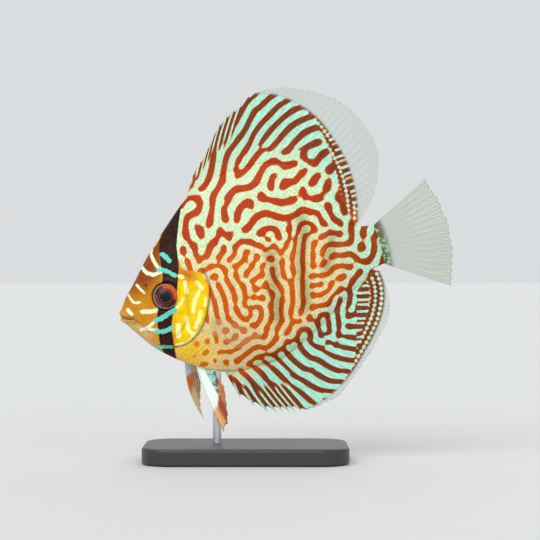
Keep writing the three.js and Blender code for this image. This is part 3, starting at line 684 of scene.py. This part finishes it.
skin_masks = {
    "lines": lines_at(places),
    "upper": np.maximum(ease(8, 20, z + 0.1 * (x - 60)), keel),
    "belly": ease(-14, -30, z - 0.05 * (x - 60)),
    "face": face,
    "crown": ease(4, -5, (x - 22) * 0.55 - (z - 8) * 0.35) * ease(0, 14, z),
    "cheek": ease(20.5, 27, x - 0.1 * z) * ease(18, 8, z),
    "rust": bell(x - 35, 5.5) * bell(z - 9.5 + 0.5 * (x - 35), 3.4),
    "fin": np.maximum(0.75 * ease(98, 117, x), 0.8 * keel),
    "lip": lip,
    "jaw": ease(1.2, -1.8, z + 2.2 + 0.62 * x) * ease(16, 8, x),
    "chest": bell(x - 27, 14) * bell(z + 26, 10) * (1 - face),
    "bar": bar,
    "blue": strokes_on(flat, BLUE_STREAKS, 0.8),
    "pale": strokes_on(flat, PALE_STREAKS, 0.8) * (1 - 0.55 * bar) * off_ridge,
    "grey": 0.75 * strokes_on(flat, GREY_BARS, 2.6),
}
for key, values in skin_masks.items():
    give(skin.data, key, values)


def paint(red, green, blue):
    """A colour given as it looks on a screen, turned into light."""
    shares = (value / 255 for value in (red, green, blue))
    return (*(s / 12.92 if s < 0.04 else ((s + 0.055) / 1.055) ** 2.4 for s in shares), 1)


def wire(tree, sockets, inputs):
    """Links each named input to a socket, or sets its value; i0, i1 and so on go by number."""
    for key, value in inputs.items():
        socket = sockets[int(key[1:]) if key[1:].isdigit() else key.replace("_", " ")]
        if isinstance(value, bpy.types.NodeSocket):
            tree.links.new(value, socket)
        else:
            socket.default_value = value


def add(tree, kind, settings=None, **inputs):
    """A node with its settings and its inputs."""
    made = tree.nodes.new(kind)
    for key, value in (settings or {}).items():
        setattr(made, key, value)
    wire(tree, made.inputs, inputs)
    return made


def blend(tree, a, b, mask, kind="MIX"):
    """The second colour laid over the first by a mask."""
    settings = {"data_type": "RGBA", "blend_type": kind}
    return add(tree, "ShaderNodeMix", settings, i0=mask, i6=a, i7=b).outputs[2]


def sums(tree, kind, a, b=0.0, c=0.0):
    """The result of one sum, such as ADD, on up to three values."""
    return add(tree, "ShaderNodeMath", {"operation": kind}, i0=a, i1=b, i2=c).outputs[0]


def times(tree, a, b):
    return sums(tree, "MULTIPLY", a, b)


def graded(tree, value, slope, start):
    """A start plus a slope times the value."""
    return sums(tree, "MULTIPLY_ADD", value, slope, start)


def step_up(tree, value, low, high):
    """As ease() does, from 0 at the first edge to 1 at the second."""
    settings = {"interpolation_type": "SMOOTHSTEP"}
    return add(
        tree, "ShaderNodeMapRange", settings, Value=value, From_Min=low, From_Max=high
    ).outputs["Result"]


def noise(tree, where, scale, detail):
    return add(tree, "ShaderNodeTexNoise", Vector=where, Scale=scale, Detail=detail).outputs[0]


def bumped(tree, height, strength, distance):
    return add(
        tree, "ShaderNodeBump", Height=height, Strength=strength, Distance=distance
    ).outputs[0]


def stored(tree, name):
    """A number that give() stored on the mesh."""
    return add(tree, "ShaderNodeAttribute", {"attribute_name": name}).outputs["Fac"]


def stored_place(tree, name="place"):
    return add(tree, "ShaderNodeAttribute", {"attribute_name": name}).outputs["Vector"]


def group(name, inputs, outputs):
    """A node group with named sockets; gives its tree, its inputs and its outputs."""
    tree = bpy.data.node_groups.new(name, "ShaderNodeTree")
    kinds = {"value": "NodeSocketFloat", "colour": "NodeSocketColor", "vector": "NodeSocketVector"}
    for sockets, way in ((inputs, "INPUT"), (outputs, "OUTPUT")):
        for key, kind in sockets.items():
            tree.interface.new_socket(key, in_out=way, socket_type=kinds[kind])
    entry = tree.nodes.new("NodeGroupInput")
    leave = tree.nodes.new("NodeGroupOutput")
    return tree, entry.outputs, leave.inputs


def use(tree, shared, **inputs):
    """The outputs of a node group."""
    return add(tree, "ShaderNodeGroup", {"node_tree": shared}, **inputs).outputs


def material(name):
    """A new material, with its node tree and its shader."""
    made = bpy.data.materials.new(name)
    made.use_nodes = True
    return made, made.node_tree, made.node_tree.nodes["Principled BSDF"]


def set_shader(tree, shader, **inputs):
    wire(tree, shader.inputs, inputs)


# The markings' colours: rust lines on mint over the back, orange on cream down the flank,
# brown on blue-green out in the fins
markings, given, made = group(
    "markings",
    {"Lines": "value", "Upper": "value", "Belly": "value", "Grey": "value", "Fin": "value"}
    | {"Place": "vector"},
    {"Color": "colour", "Ink": "value"},
)
rough = graded(markings, noise(markings, given["Place"], 0.55, 3.0), 0.7, 0.15)
frayed = sums(markings, "ADD", given["Lines"], rough)
ground = blend(markings, paint(236, 222, 176), paint(216, 240, 202), given["Upper"])
ground = blend(markings, ground, paint(248, 222, 176), given["Belly"])
ground = blend(markings, ground, paint(160, 164, 104), given["Grey"])
ground = blend(markings, ground, paint(172, 238, 220), given["Fin"])
fleck = step_up(markings, noise(markings, given["Place"], 1.1, 2.0), 0.35, 0.7)
ground = blend(markings, ground, paint(205, 214, 186), times(markings, fleck, 0.5), "MULTIPLY")
line_ink = blend(markings, paint(204, 92, 2), paint(178, 56, 3), given["Upper"])
line_ink = blend(markings, line_ink, paint(128, 34, 0), given["Grey"])
line_ink = blend(markings, line_ink, paint(116, 48, 12), given["Fin"])
edge_ink = blend(markings, line_ink, paint(246, 150, 40), 0.55)
edged = blend(markings, edge_ink, line_ink, step_up(markings, frayed, 0.35, 0.8))
ink = step_up(markings, frayed, -0.1, 0.42)
markings.links.new(blend(markings, ground, edged, ink), made["Color"])
markings.links.new(ink, made["Ink"])

# Small scales in oblique rows, each lifting a little towards the tail, with painted shade darkening
# the rim of each
scales, given, made = group("scales", {"Place": "vector"}, {"Height": "value", "Rim_shade": "value"})
turned = add(
    scales,
    "ShaderNodeMapping",
    Vector=given["Place"],
    Rotation=(0, math.radians(38), 0),
    Scale=(0.62, 0, 0.62),
).outputs[0]
cell = add(scales, "ShaderNodeTexVoronoi", Vector=turned, Scale=1.0, Randomness=0.45)
across = add(
    scales, "ShaderNodeVectorMath", {"operation": "SUBTRACT"}, i0=turned, i1=cell.outputs["Position"]
).outputs[0]
tilt = add(
    scales, "ShaderNodeVectorMath", {"operation": "DOT_PRODUCT"}, i0=across, i1=(0.8, 0, -0.6)
).outputs["Value"]
lift = graded(scales, tilt, 0.8, 0.5)
scales.links.new(sums(scales, "SUBTRACT", lift, cell.outputs["Distance"]), made["Height"])
# painted shade, deepest at each scale's rim
scales.links.new(step_up(scales, cell.outputs["Distance"], 0.25, 0.62), made["Rim_shade"])


def marked(tree, *masks):
    """The markings on a mesh, with those of the masks for them that are stored on it."""
    values = {mask.capitalize(): stored(tree, mask) for mask in masks}
    return use(tree, markings, Place=stored_place(tree), **values)


skin_coat, tree, shader = material("fish_skin")
place = stored_place(tree)
mark = marked(tree, "lines", "upper", "belly", "grey", "fin")
chest = times(tree, stored(tree, "chest"), graded(tree, mark["Ink"], -0.7, 1.0))
colour = blend(tree, mark["Color"], paint(244, 196, 40), chest)
bare = blend(tree, paint(204, 140, 24), paint(138, 66, 8), stored(tree, "crown"))
bare = blend(tree, bare, paint(244, 206, 0), stored(tree, "cheek"))
bare = blend(tree, bare, paint(212, 176, 124), stored(tree, "jaw"))
mottle = step_up(tree, noise(tree, place, 0.35, 4.0), 0.3, 0.75)
bare = blend(tree, bare, paint(236, 222, 170), mottle, "MULTIPLY")
bare = blend(tree, bare, paint(196, 104, 8), stored(tree, "rust"))
colour = blend(tree, colour, bare, stored(tree, "face"))
# the bar and the streaks have torn edges
rough = noise(tree, place, 0.8, 4.0)
fray = graded(tree, rough, 1.1, -0.55)
torn = {}
for key, low, high in (("bar", 0.35, 0.75), ("pale", 0.3, 0.8), ("blue", 0.3, 0.7)):
    torn[key] = step_up(tree, sums(tree, "ADD", stored(tree, key), fray), low, high)
dark_bar = blend(tree, paint(30, 9, 3), paint(62, 24, 8), step_up(tree, rough, 0.35, 0.7))
colour = blend(tree, colour, dark_bar, torn["bar"])
pale_paint = blend(tree, paint(226, 238, 196), paint(246, 240, 150), stored(tree, "cheek"))
colour = blend(tree, colour, pale_paint, torn["pale"])
colour = blend(tree, colour, paint(96, 206, 188), torn["blue"])
colour = blend(tree, colour, paint(206, 158, 104), times(tree, stored(tree, "lip"), 0.75))
scaled = use(tree, scales, Place=place)
off_face = sums(tree, "SUBTRACT", 1.0, stored(tree, "face"))
# painted shade at the rims of the scales, off the face
colour = blend(tree, colour, paint(236, 234, 226), times(tree, scaled["Rim_shade"], off_face), "MULTIPLY")
colour = blend(tree, colour, paint(70, 48, 20), times(tree, stored(tree, "shade"), 0.8))
set_shader(
    tree,
    shader,
    Base_Color=colour,
    Normal=bumped(tree, times(tree, scaled["Height"], off_face), 0.35, 0.0004),
    Roughness=0.42,
    Specular_IOR_Level=0.14,
)
skin.data.materials.append(skin_coat)
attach(skin, "root")
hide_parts("head", "torso", "tail_stalk", "gill_cover_left", "gill_cover_right")

# The eyes: clear domes over a wide dark iris with an orange crescent above and behind the
# pupil and a thin pale ring round it, each a separate ball sunk in a socket of skin.
EYE_RADIUS, EYE_DEPTH, EYE_SUNK, IRIS_RADIUS = 6.7, 4.8, 1.8, 6.1
SIDES = (("left", -1), ("right", 1))
iris_coat, tree, shader = material("eye")
reach, turn = stored(tree, "reach"), stored(tree, "turn")
streaks = noise(tree, stored_place(tree, "fibre"), 1.0, 4.0)
colour = blend(tree, paint(76, 26, 24), paint(24, 8, 10), step_up(tree, streaks, 0.35, 0.62))
crescent = times(tree, step_up(tree, turn, 0.2, 0.8), step_up(tree, reach, 0.5, 0.72))
crescent = times(tree, crescent, step_up(tree, reach, 0.93, 0.82))
colour = blend(tree, colour, paint(206, 84, 14), crescent)
low_side = times(tree, step_up(tree, turn, -0.1, -0.8), step_up(tree, reach, 0.55, 0.66))
low_side = times(tree, low_side, step_up(tree, streaks, 0.42, 0.6))
colour = blend(tree, colour, paint(150, 84, 66), times(tree, low_side, 0.7))
ring = times(tree, step_up(tree, reach, 0.86, 0.9), step_up(tree, reach, 0.97, 0.93))
colour = blend(tree, colour, paint(200, 172, 158), times(tree, ring, 0.55))
colour = blend(tree, colour, paint(20, 12, 14), step_up(tree, reach, 0.94, 0.985))
colour = blend(tree, colour, paint(150, 84, 60), step_up(tree, reach, 0.5, 0.46))
colour = blend(tree, colour, paint(7, 9, 15), step_up(tree, reach, 0.47, 0.43))
set_shader(
    tree,
    shader,
    Base_Color=colour,
    Roughness=0.3,
    Coat_Weight=0.3,
    Coat_Roughness=0.04,
    Specular_IOR_Level=0.1,
)
for name, sign in SIDES:
    mesh = bpy.data.meshes.new(f"eyeball_{name}")
    bm = bmesh.new()
    bmesh.ops.create_uvsphere(bm, u_segments=96, v_segments=64, radius=1)
    bmesh.ops.rotate(
        bm, verts=bm.verts, matrix=Matrix.Rotation(math.radians(90), 3, "X"), cent=(0, 0, 0)
    )
    for face in bm.faces:
        face.smooth = True
    bm.to_mesh(mesh)
    bm.free()
    ball = points_of(mesh)
    middle = half_width_at(EYE_X, EYE_Z) - EYE_SUNK
    places = ball * (EYE_RADIUS, EYE_DEPTH, EYE_RADIUS)
    places += (EYE_X * PART, sign * float(middle), EYE_Z * PART)
    lay_points(mesh, places)
    out = np.hypot(ball[:, 0], ball[:, 2])
    around = np.where(ball[:, 1] * sign > 0, out * EYE_RADIUS / IRIS_RADIUS, 1.2)
    give(mesh, "reach", around)
    # the crescent lies above and behind the pupil
    give(mesh, "turn", (ball[:, 0] * 0.88 + ball[:, 2] * 0.47) / np.maximum(out, 0.05))
    angle = np.arctan2(ball[:, 2], ball[:, 0])
    give(mesh, "fibre", np.stack([np.cos(angle) * 5, np.sin(angle) * 5, around * 1.5], -1))
    mesh.materials.append(iris_coat)
    eye = into_scene(f"eyeball_{name}", mesh)
    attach(eye, "root")
    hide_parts(f"eye_{name}")

# The tall dorsal and anal fins: a row of bony spines and then soft branched rays in one thin
# membrane, standing in the ridge of the back and of the belly. They are coloured almost to
# the edge, where a hem is left clear.
# In mm, how far off the body a fin's root line lies, how far inside that line its web starts
# and how thick it is at its root and its edge; then how far its rays fork, as a share of the
# space between two
GAP, ROOT_DEPTH, FIN_ROOT, FIN_EDGE, FORK = 0.35, 1.6, 2.0, 0.34, 0.24
CLOSING = 0.012  # the share of its reach over which a web's two faces close
RAGGED, RAGGED_SEED = 0.025, 11


def root_along(edge_of, first, last, sign):
    """The line that a tall fin stands on, a little off the outline of the body."""
    x = np.linspace(first, last, 120)
    slope = (edge_of(x + 0.05) - edge_of(x - 0.05)) / 0.1
    out = np.stack([-slope, np.ones_like(x)], -1)
    out /= np.linalg.norm(out, axis=1)[:, None]
    return np.stack([x, edge_of(x)], -1) * PART + sign * GAP * out


def ray_crest(ray, reach, spines):
    """How high the rays stand at a place across them: one crest each, forking towards the edge."""
    off = ray - np.round(ray)
    soft = np.round(ray) >= spines
    fork = np.where(soft, FORK * ease(0.45, 1, reach), 0)
    width = np.where(soft, mix(0.17, 0.1, reach), 0.2)
    return np.maximum(bell(off - fork, width), bell(off + fork, width))


def fin_sheet(name, count, spines, middle_at, across=7, rows=56, root=FIN_ROOT, rise=0.16):
    """A fin of two faces from its root to its free edge, both with the rays raised."""

    def place(u, v):
        reach = 1 - np.abs(2 * v - 1)
        sign = np.where(v < 0.5, -1.0, 1.0)
        ray = u * (count - 1)
        middle, normal = middle_at(u, ray, reach)
        crest = ray_crest(ray, reach, spines)
        half = mix(root, FIN_EDGE, reach**0.55) / 2 + rise * crest * ease(0, 0.1, reach)
        # the two faces close on each other at the root, the edge and the outer rays
        half *= np.minimum(1, reach / CLOSING) * np.minimum(1, (1 - reach) / CLOSING + 0.3)
        half *= np.minimum(1, np.minimum(u, 1 - u) * (count - 1) / 0.25)
        half = np.where((u < 1e-6) | (u > 1 - 1e-6) | (reach < 1e-6) | (reach > 1 - 1e-6), 0, half)
        places = middle + normal * (sign * half)[:, None]
        return places, {"ray": ray, "reach": reach}

    return closed_grid(name, (count - 1) * across, rows * 2, place)


def median_middle(root_line, edge_line, tip_share, spines, count, sag, wave, notches):
    """The middle of a fin that stands in the fish's middle plane.

    The wave is its height in mm, its number and its start; the notches are how far the web
    hangs back from the tips between two spines and between two soft rays.
    """
    root_at, edge_at = along(root_line), along(edge_line)
    ragged = 1 - RAGGED * np.random.default_rng(RAGGED_SEED).random(count)
    ragged[0] = ragged[-1] = 1

    def at(u, ray, reach):
        start, end = root_at(u), edge_at(tip_share(u))
        length = np.linalg.norm(end - start, axis=1)
        off = np.abs(ray - np.round(ray))
        soft = ease(spines - 1, spines + 1, ray)
        back = mix(notches[0], notches[1], soft) * np.sin(np.pi * off) ** mix(0.8, 1.6, soft)
        stop = np.interp(ray, np.arange(count), ragged) * (1 - np.minimum(0.35, back / length))
        t = mix(-ROOT_DEPTH / np.maximum(length, 1), stop, reach**0.9)
        flat = start + (end - start) * t[:, None]
        bend = np.stack([-(end - start)[:, 1], (end - start)[:, 0]], -1)
        flat = flat + bend * (sag * 4 * t * (1 - t))[:, None]
        y = wave[0] * t * t * np.sin(wave[1] * 2 * np.pi * u + wave[2])
        normal = np.zeros((len(u), 3))
        normal[:, 1] = 1
        return np.stack([flat[:, 0], y, flat[:, 1]], -1), normal

    return at


dorsal_tips = curve_through(
    [(0, 0), (0.06, 0.1), (0.12, 0.205), (0.25, 0.345), (0.5, 0.56), (0.75, 0.76), (1, 1)]
)
anal_tips = curve_through([(0, 0), (0.1, 0.2), (0.25, 0.33), (0.5, 0.575), (0.75, 0.82), (1, 1)])
dorsal_root = root_along(top_edge, NAPE_X, 94.3, 1)
anal_root = root_along(bottom_edge, VENT_X, 96, -1)
DORSAL_RAYS, DORSAL_SPINES, DORSAL_SAG, DORSAL_WAVE = 40, 9, 0.03, (0.7, 2.5, 0.4)
ANAL_RAYS, ANAL_SPINES, ANAL_SAG, ANAL_WAVE = 37, 8, -0.03, (0.7, 2.2, 2.0)
NOTCHES = (4.2, 0.5)
dorsal_middle = median_middle(
    dorsal_root, dorsal_edge, dorsal_tips, DORSAL_SPINES, DORSAL_RAYS, DORSAL_SAG, DORSAL_WAVE, NOTCHES
)
anal_middle = median_middle(
    anal_root, anal_edge, anal_tips, ANAL_SPINES, ANAL_RAYS, ANAL_SAG, ANAL_WAVE, NOTCHES
)
dorsal_fin = fin_sheet("dorsal_fin_web", DORSAL_RAYS, DORSAL_SPINES, dorsal_middle)
anal_fin = fin_sheet("anal_fin_web", ANAL_RAYS, ANAL_SPINES, anal_middle)

# The rays show through the membrane as pale lines with fine joints across them
ray_tone, given, made = group(
    "fin_rays", {"Ray": "value", "Reach": "value"}, {"Crest": "value", "Joints": "value"}
)
off = sums(ray_tone, "PINGPONG", given["Ray"], 0.5)
fork = times(ray_tone, step_up(ray_tone, given["Reach"], 0.45, 1.0), FORK)
from_crest = sums(ray_tone, "ABSOLUTE", sums(ray_tone, "SUBTRACT", off, fork))
ray_tone.links.new(step_up(ray_tone, from_crest, 0.17, 0.06), made["Crest"])
joint = sums(ray_tone, "PINGPONG", times(ray_tone, given["Reach"], 46.0), 0.5)
ray_tone.links.new(step_up(ray_tone, joint, 0.12, 0.02), made["Joints"])


def rays_on(tree):
    """Where the rays of a fin lie on its web, and the joints across them."""
    return use(tree, ray_tone, Ray=stored(tree, "ray"), Reach=stored(tree, "reach"))


web_coat, tree, shader = material("fin_web")
mark = marked(tree, "lines", "upper", "fin")
rays = rays_on(tree)
between = graded(tree, rays["Crest"], -0.2, 0.2)
colour = blend(tree, mark["Color"], paint(170, 165, 140), between, "MULTIPLY")
clear = step_up(tree, stored(tree, "clear"), -0.8, 1.4)
glass = blend(tree, paint(150, 164, 156), paint(200, 208, 200), rays["Crest"])
seen = graded(tree, rays["Crest"], 0.4, 0.15)
height = sums(tree, "SUBTRACT", rays["Crest"], times(tree, rays["Joints"], 0.25))
set_shader(
    tree,
    shader,
    Base_Color=blend(tree, colour, glass, clear),
    Alpha=sums(tree, "MAXIMUM", sums(tree, "SUBTRACT", 1.0, clear), seen),
    Normal=bumped(tree, height, 0.5, 0.00015),
    Roughness=0.4,
    Specular_IOR_Level=0.2,
)
for fin, hem, outward, node in (
    (dorsal_fin, dorsal_hem, 1, "dorsal_fin"),
    (anal_fin, anal_hem, -1, "anal_fin"),
):
    places = read(fin.data, "place")
    gap, side = distance_to(places[:, [0, 2]], hem)
    ray, reach = read(fin.data, "ray"), read(fin.data, "reach")
    # between the front spines the web's points are striped pale down their middles
    lappet = ease(9.5, 7.5, ray) * ease(0.3, 0.6, reach)
    lines = mix(lines_at(places), 0.25 - 1.1 * np.cos(2 * np.pi * ray), lappet)
    give(fin.data, "lines", lines)
    give(fin.data, "clear", gap * side * outward)
    x, z = places[:, 0], places[:, 2]
    off_body = np.where(z > 0, above_back(x, z), below_belly(x, z))
    give(fin.data, "upper", np.where(z > 0, ease(8, 20, z), ease(-2, 4, off_body)))
    over = 0.9 * ease(-4, 17, off_body)
    under = np.clip(0.75 * ease(46, 66, x) + ease(0, 9, off_body), 0, 1)
    give(fin.data, "fin", np.where(z > 0, over, under))
    fin.data.materials.append(web_coat)
    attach(fin, "root")
    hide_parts(node)

# The tail fin: sixteen long rays, forked at their ends, in a clear membrane, fanned from the
# end of the tail stalk, which holds their roots under its last scales.
TAIL_RAYS, TAIL_WAVE, TAIL_NOTCHES = 16, (1.2, 1.2, 1.0), (0, 0.7)
tail_x = BODY_LENGTH + GAP
tail_top, tail_bottom = float(top_edge(100.0)) - 0.3, float(bottom_edge(100.0)) + 0.3
tail_root = np.array([(tail_x, tail_top * PART), (tail_x, tail_bottom * PART)])
tail_edge = smooth_line([(124.6, 17.6), (127.4, 7), (128.2, -3.4), (126.6, -14), (122.8, -24.2)])
tail_middle = median_middle(
    tail_root, tail_edge, lambda share: share, 0, TAIL_RAYS, 0, TAIL_WAVE, TAIL_NOTCHES
)
tail_fin = fin_sheet("tail_fin_web", TAIL_RAYS, 0, tail_middle, 16, 48, 1.9, 0.2)
tail_coat, tree, shader = material("tail_web")
rays = rays_on(tree)
patch = step_up(tree, noise(tree, stored_place(tree), 0.5, 2.0), 0.5, 0.6)
stem = blend(tree, paint(96, 82, 30), paint(130, 196, 166), patch)
web = blend(tree, paint(140, 150, 132), paint(198, 204, 184), rays["Crest"])
near_root = step_up(tree, stored(tree, "reach"), 0.22, 0.08)
height = sums(tree, "SUBTRACT", rays["Crest"], times(tree, rays["Joints"], 0.3))
set_shader(
    tree,
    shader,
    Base_Color=blend(tree, web, stem, near_root),
    Alpha=sums(tree, "MAXIMUM", near_root, graded(tree, rays["Crest"], 0.5, 0.2)),
    Normal=bumped(tree, height, 0.5, 0.00015),
    Roughness=0.38,
)
tail_fin.data.materials.append(tail_coat)
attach(tail_fin, "root")
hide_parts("tail_fin")

# The pectoral fins: a dozen hair-fine rays in a clear web, hinged on the flank just behind
# each gill opening and folded back along it.
PECTORAL_RAYS = 12
pectoral_root = along(smooth_line([(33.4, -10.6), (32.6, -13.4), (31.2, -16)]))
pectoral_edge = along(
    smooth_line([(49.5, -20.2), (49.2, -22.6), (46, -24.6), (41.6, -25.2), (38, -23.6)])
)
PECTORAL_BEND, PECTORAL_SPREAD = 2.6, 3.4


def normals_of(middle, u, reach):
    """Which way a curved web faces, from its slope along and across the rays."""
    step = 1e-3
    a = middle(u, np.minimum(1, reach + step)) - middle(u, np.maximum(0, reach - step))
    b = middle(np.minimum(1, u + step), reach) - middle(np.maximum(0, u - step), reach)
    normal = np.cross(a, b)
    return normal / (np.linalg.norm(normal, axis=1)[:, None] + 1e-12)


def pectoral_middle(sign):
    """The middle of a fin that bends out from the skin and back along it."""

    def middle(u, reach):
        start, end = pectoral_root(u), pectoral_edge(u)
        t = reach**1.7
        flat = start + (end - start) * (np.maximum(0, t - 0.03) / 0.97)[:, None]
        skin_side = half_width_at(start[:, 0] / PART, start[:, 1] / PART)
        out = PECTORAL_BEND * (1 - np.exp(-t / 0.07)) + PECTORAL_SPREAD * t
        return np.stack([flat[:, 0], sign * (skin_side - 0.2 + out), flat[:, 1]], -1)

    def at(u, ray, reach):
        stop = 1 - 0.025 * np.sin(np.pi * np.abs(ray - np.round(ray)))
        return middle(u, reach * stop), sign * normals_of(middle, u, reach * stop)

    return at


pectoral_coat, tree, shader = material("pectoral_web")
rays = rays_on(tree)
thin = graded(tree, rays["Crest"], 0.3, 0.22)
thick = graded(tree, step_up(tree, stored(tree, "reach"), 0.1, 0.6), -0.45, 0.75)
set_shader(
    tree,
    shader,
    Base_Color=blend(tree, paint(226, 206, 160), paint(196, 140, 70), rays["Crest"]),
    Alpha=times(tree, thin, thick),
    Roughness=0.35,
)
for name, sign in SIDES:
    fin = fin_sheet(
        f"pectoral_web_{name}", PECTORAL_RAYS, 0, pectoral_middle(sign), 9, 44, 1.5, 0.12
    )
    fin.data.materials.append(pectoral_coat)
    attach(fin, "root")
    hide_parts(f"pectoral_fin_{name}")

# The pelvic fins: a stiff leading spine and five soft rays each in a thin web, narrow and
# trailing, hung side by side from the keel of the breast.
PELVIC_RAYS, PELVIC_INSET = 6, 2.7
# where each starts and ends along the keel, its free edge, how far it splays and how it bows
PELVIC = {
    "left": (
        (22.2, 26.4),
        [(25.4, -53.2), (28, -49.7), (28.9, -45.5), (29.6, -41.2), (30.2, -36.6)],
        5.5,
        -0.7,
    ),
    "right": (
        (18.2, 21.8),
        [(19, -47.5), (18.8, -44.5), (19.2, -41.3), (20.2, -37.6), (21.4, -33.6)],
        5,
        -2,
    ),
}


def pelvic_middle(name, sign):
    """The middle of a fin that hangs from the keel and splays outwards."""
    (front, back), edge, splay, bow = PELVIC[name]
    edge_at = along(smooth_line(edge))

    def middle(u, reach):
        x = mix(front, back, u)
        start = np.stack([x, bottom_edge(x)], -1) * PART + (0, 0.8)
        flat = start + (edge_at(u) - start) * reach[:, None]
        flat[:, 0] += bow * (1 - u) * PART * 4 * reach * (1 - reach)
        y = sign * (PELVIC_INSET + splay * reach**1.4)
        return np.stack([flat[:, 0], y, flat[:, 1]], -1)

    def at(u, ray, reach):
        stop = 1 - 0.04 * np.sin(np.pi * np.abs(ray - np.round(ray)))
        return middle(u, reach * stop), sign * normals_of(middle, u, reach * stop)

    return at


for name, sign in SIDES:
    coat, tree, shader = material(f"pelvic_web_{name}")
    ray, reach = stored(tree, "ray"), stored(tree, "reach")
    rays = rays_on(tree)
    lead = step_up(tree, ray, 2.9, 2.4)
    patch = step_up(tree, noise(tree, stored_place(tree), 0.3, 1.0), 0.45, 0.55)
    if name == "left":
        web = blend(tree, paint(110, 62, 22), paint(150, 224, 204), patch)
        tip = blend(tree, paint(226, 160, 84), paint(150, 56, 10), step_up(tree, ray, 0.5, 1.3))
        stem = blend(tree, paint(226, 240, 226), tip, step_up(tree, reach, 0.66, 0.74))
        far = blend(tree, web, paint(196, 116, 40), step_up(tree, reach, 0.6, 0.75))
    else:
        web = blend(tree, paint(170, 96, 20), paint(196, 150, 50), patch)
        stem = blend(tree, paint(178, 200, 214), paint(200, 96, 20), step_up(tree, reach, 0.2, 0.3))
        stem = blend(tree, stem, paint(222, 196, 150), step_up(tree, reach, 0.45, 0.7))
        far = blend(tree, web, paint(206, 160, 90), step_up(tree, reach, 0.5, 0.8))
    set_shader(
        tree,
        shader,
        Base_Color=blend(tree, far, stem, lead),
        Alpha=sums(tree, "MAXIMUM", lead, graded(tree, rays["Crest"], 0.35, 0.6)),
        Roughness=0.38,
    )
    fin = fin_sheet(f"pelvic_web_{name}", PELVIC_RAYS, 1, pelvic_middle(name, sign), 10, 52, 1.8, 0.2)
    fin.data.materials.append(coat)
    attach(fin, "root")
    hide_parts(f"pelvic_fin_{name}")

# The stand: a flat rounded base of dark satin plastic with one brushed steel rod pressed
# into it, which holds the fish by its belly. The solids' own meshes are kept.


def on_object(tree):
    return add(tree, "ShaderNodeTexCoord").outputs["Object"]


plastic, tree, shader = material("stand_plastic")
grain = noise(tree, on_object(tree), 900.0, 2.0)
set_shader(
    tree,
    shader,
    Base_Color=blend(tree, paint(38, 39, 42), paint(48, 49, 52), grain),
    Normal=bumped(tree, grain, 0.15, 0.0001),
    Roughness=0.42,
)
steel, tree, shader = material("stand_steel")
brushed = add(tree, "ShaderNodeMapping", Vector=on_object(tree), Scale=(400, 400, 6000)).outputs[0]
grain = noise(tree, brushed, 1.0, 2.0)
shine = add(tree, "ShaderNodeMapRange", Value=grain, To_Min=0.22, To_Max=0.4).outputs[0]
set_shader(tree, shader, Base_Color=paint(196, 198, 202), Metallic=1.0, Roughness=shine)
for node, coat in (("stand_base", plastic), ("stand_rod", steel)):
    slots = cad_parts[node].data.materials
    slots.clear()
    slots.append(coat)

# The camera and the studio: a long lens level with the fish at the photograph's angle, a wide
# pale paper floor, and soft light from the front, from above and from behind.
PICTURE, MM_PER_PIXEL = 540, 0.47
ORIGIN_COLUMN, ORIGIN_ROW = 246, 460.8  # where the object's origin lies in the photograph
DISTANCE = 0.9
lens = bpy.data.cameras.new("camera")
lens.sensor_width = 36
lens.lens = lens.sensor_width * DISTANCE / (PICTURE * MM_PER_PIXEL / 1000)
camera = into_scene("camera", lens)
across = (PICTURE / 2 - ORIGIN_COLUMN) * MM_PER_PIXEL / 1000
height = (ORIGIN_ROW - PICTURE / 2) * MM_PER_PIXEL / 1000
camera.location = (across, -DISTANCE, height)
camera.rotation_euler = (math.radians(90), 0, 0)
bpy.context.scene.camera = camera

FLOOR_HALF = 12
floor_mesh = bpy.data.meshes.new("floor")
bm = bmesh.new()
bmesh.ops.create_grid(bm, x_segments=1, y_segments=1, size=FLOOR_HALF)
bm.to_mesh(floor_mesh)
bm.free()
floor = into_scene("floor", floor_mesh)
paper, tree, shader = material("floor_paper")
grain = noise(tree, on_object(tree), 3.0, 2.0)
colour = blend(tree, paint(208, 209, 208), paint(213, 214, 212), grain)
set_shader(tree, shader, Base_Color=colour, Roughness=0.8)
floor_mesh.materials.append(paper)
floor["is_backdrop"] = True

# with this setting painted colours come out as they are given
bpy.context.scene.view_settings.view_transform = "Standard"
world = bpy.data.worlds.new("studio")
bpy.context.scene.world = world
world.use_nodes = True
sky = world.node_tree.nodes["Background"]
sky.inputs["Color"].default_value = (0.86, 0.88, 0.9, 1)
sky.inputs["Strength"].default_value = 0.82
# where each lamp shines from, how strongly, and how many degrees of the sky it fills
LAMPS = {
    "key": ((-0.5, -1.0, 0.9), 1.5, 50),
    "fill": ((0.4, -1.0, 0.15), 0.7, 80),
    "back": ((0.3, 1.0, 0.9), 0.4, 60),
}
for name, (place, strength, softness) in LAMPS.items():
    lamp = bpy.data.lights.new(name, "SUN")
    lamp.energy = strength
    lamp.angle = math.radians(softness)
    light = into_scene(name, lamp)
    light.location = place
    light.rotation_euler = Vector(place).to_track_quat("Z", "Y").to_euler()

low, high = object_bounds()
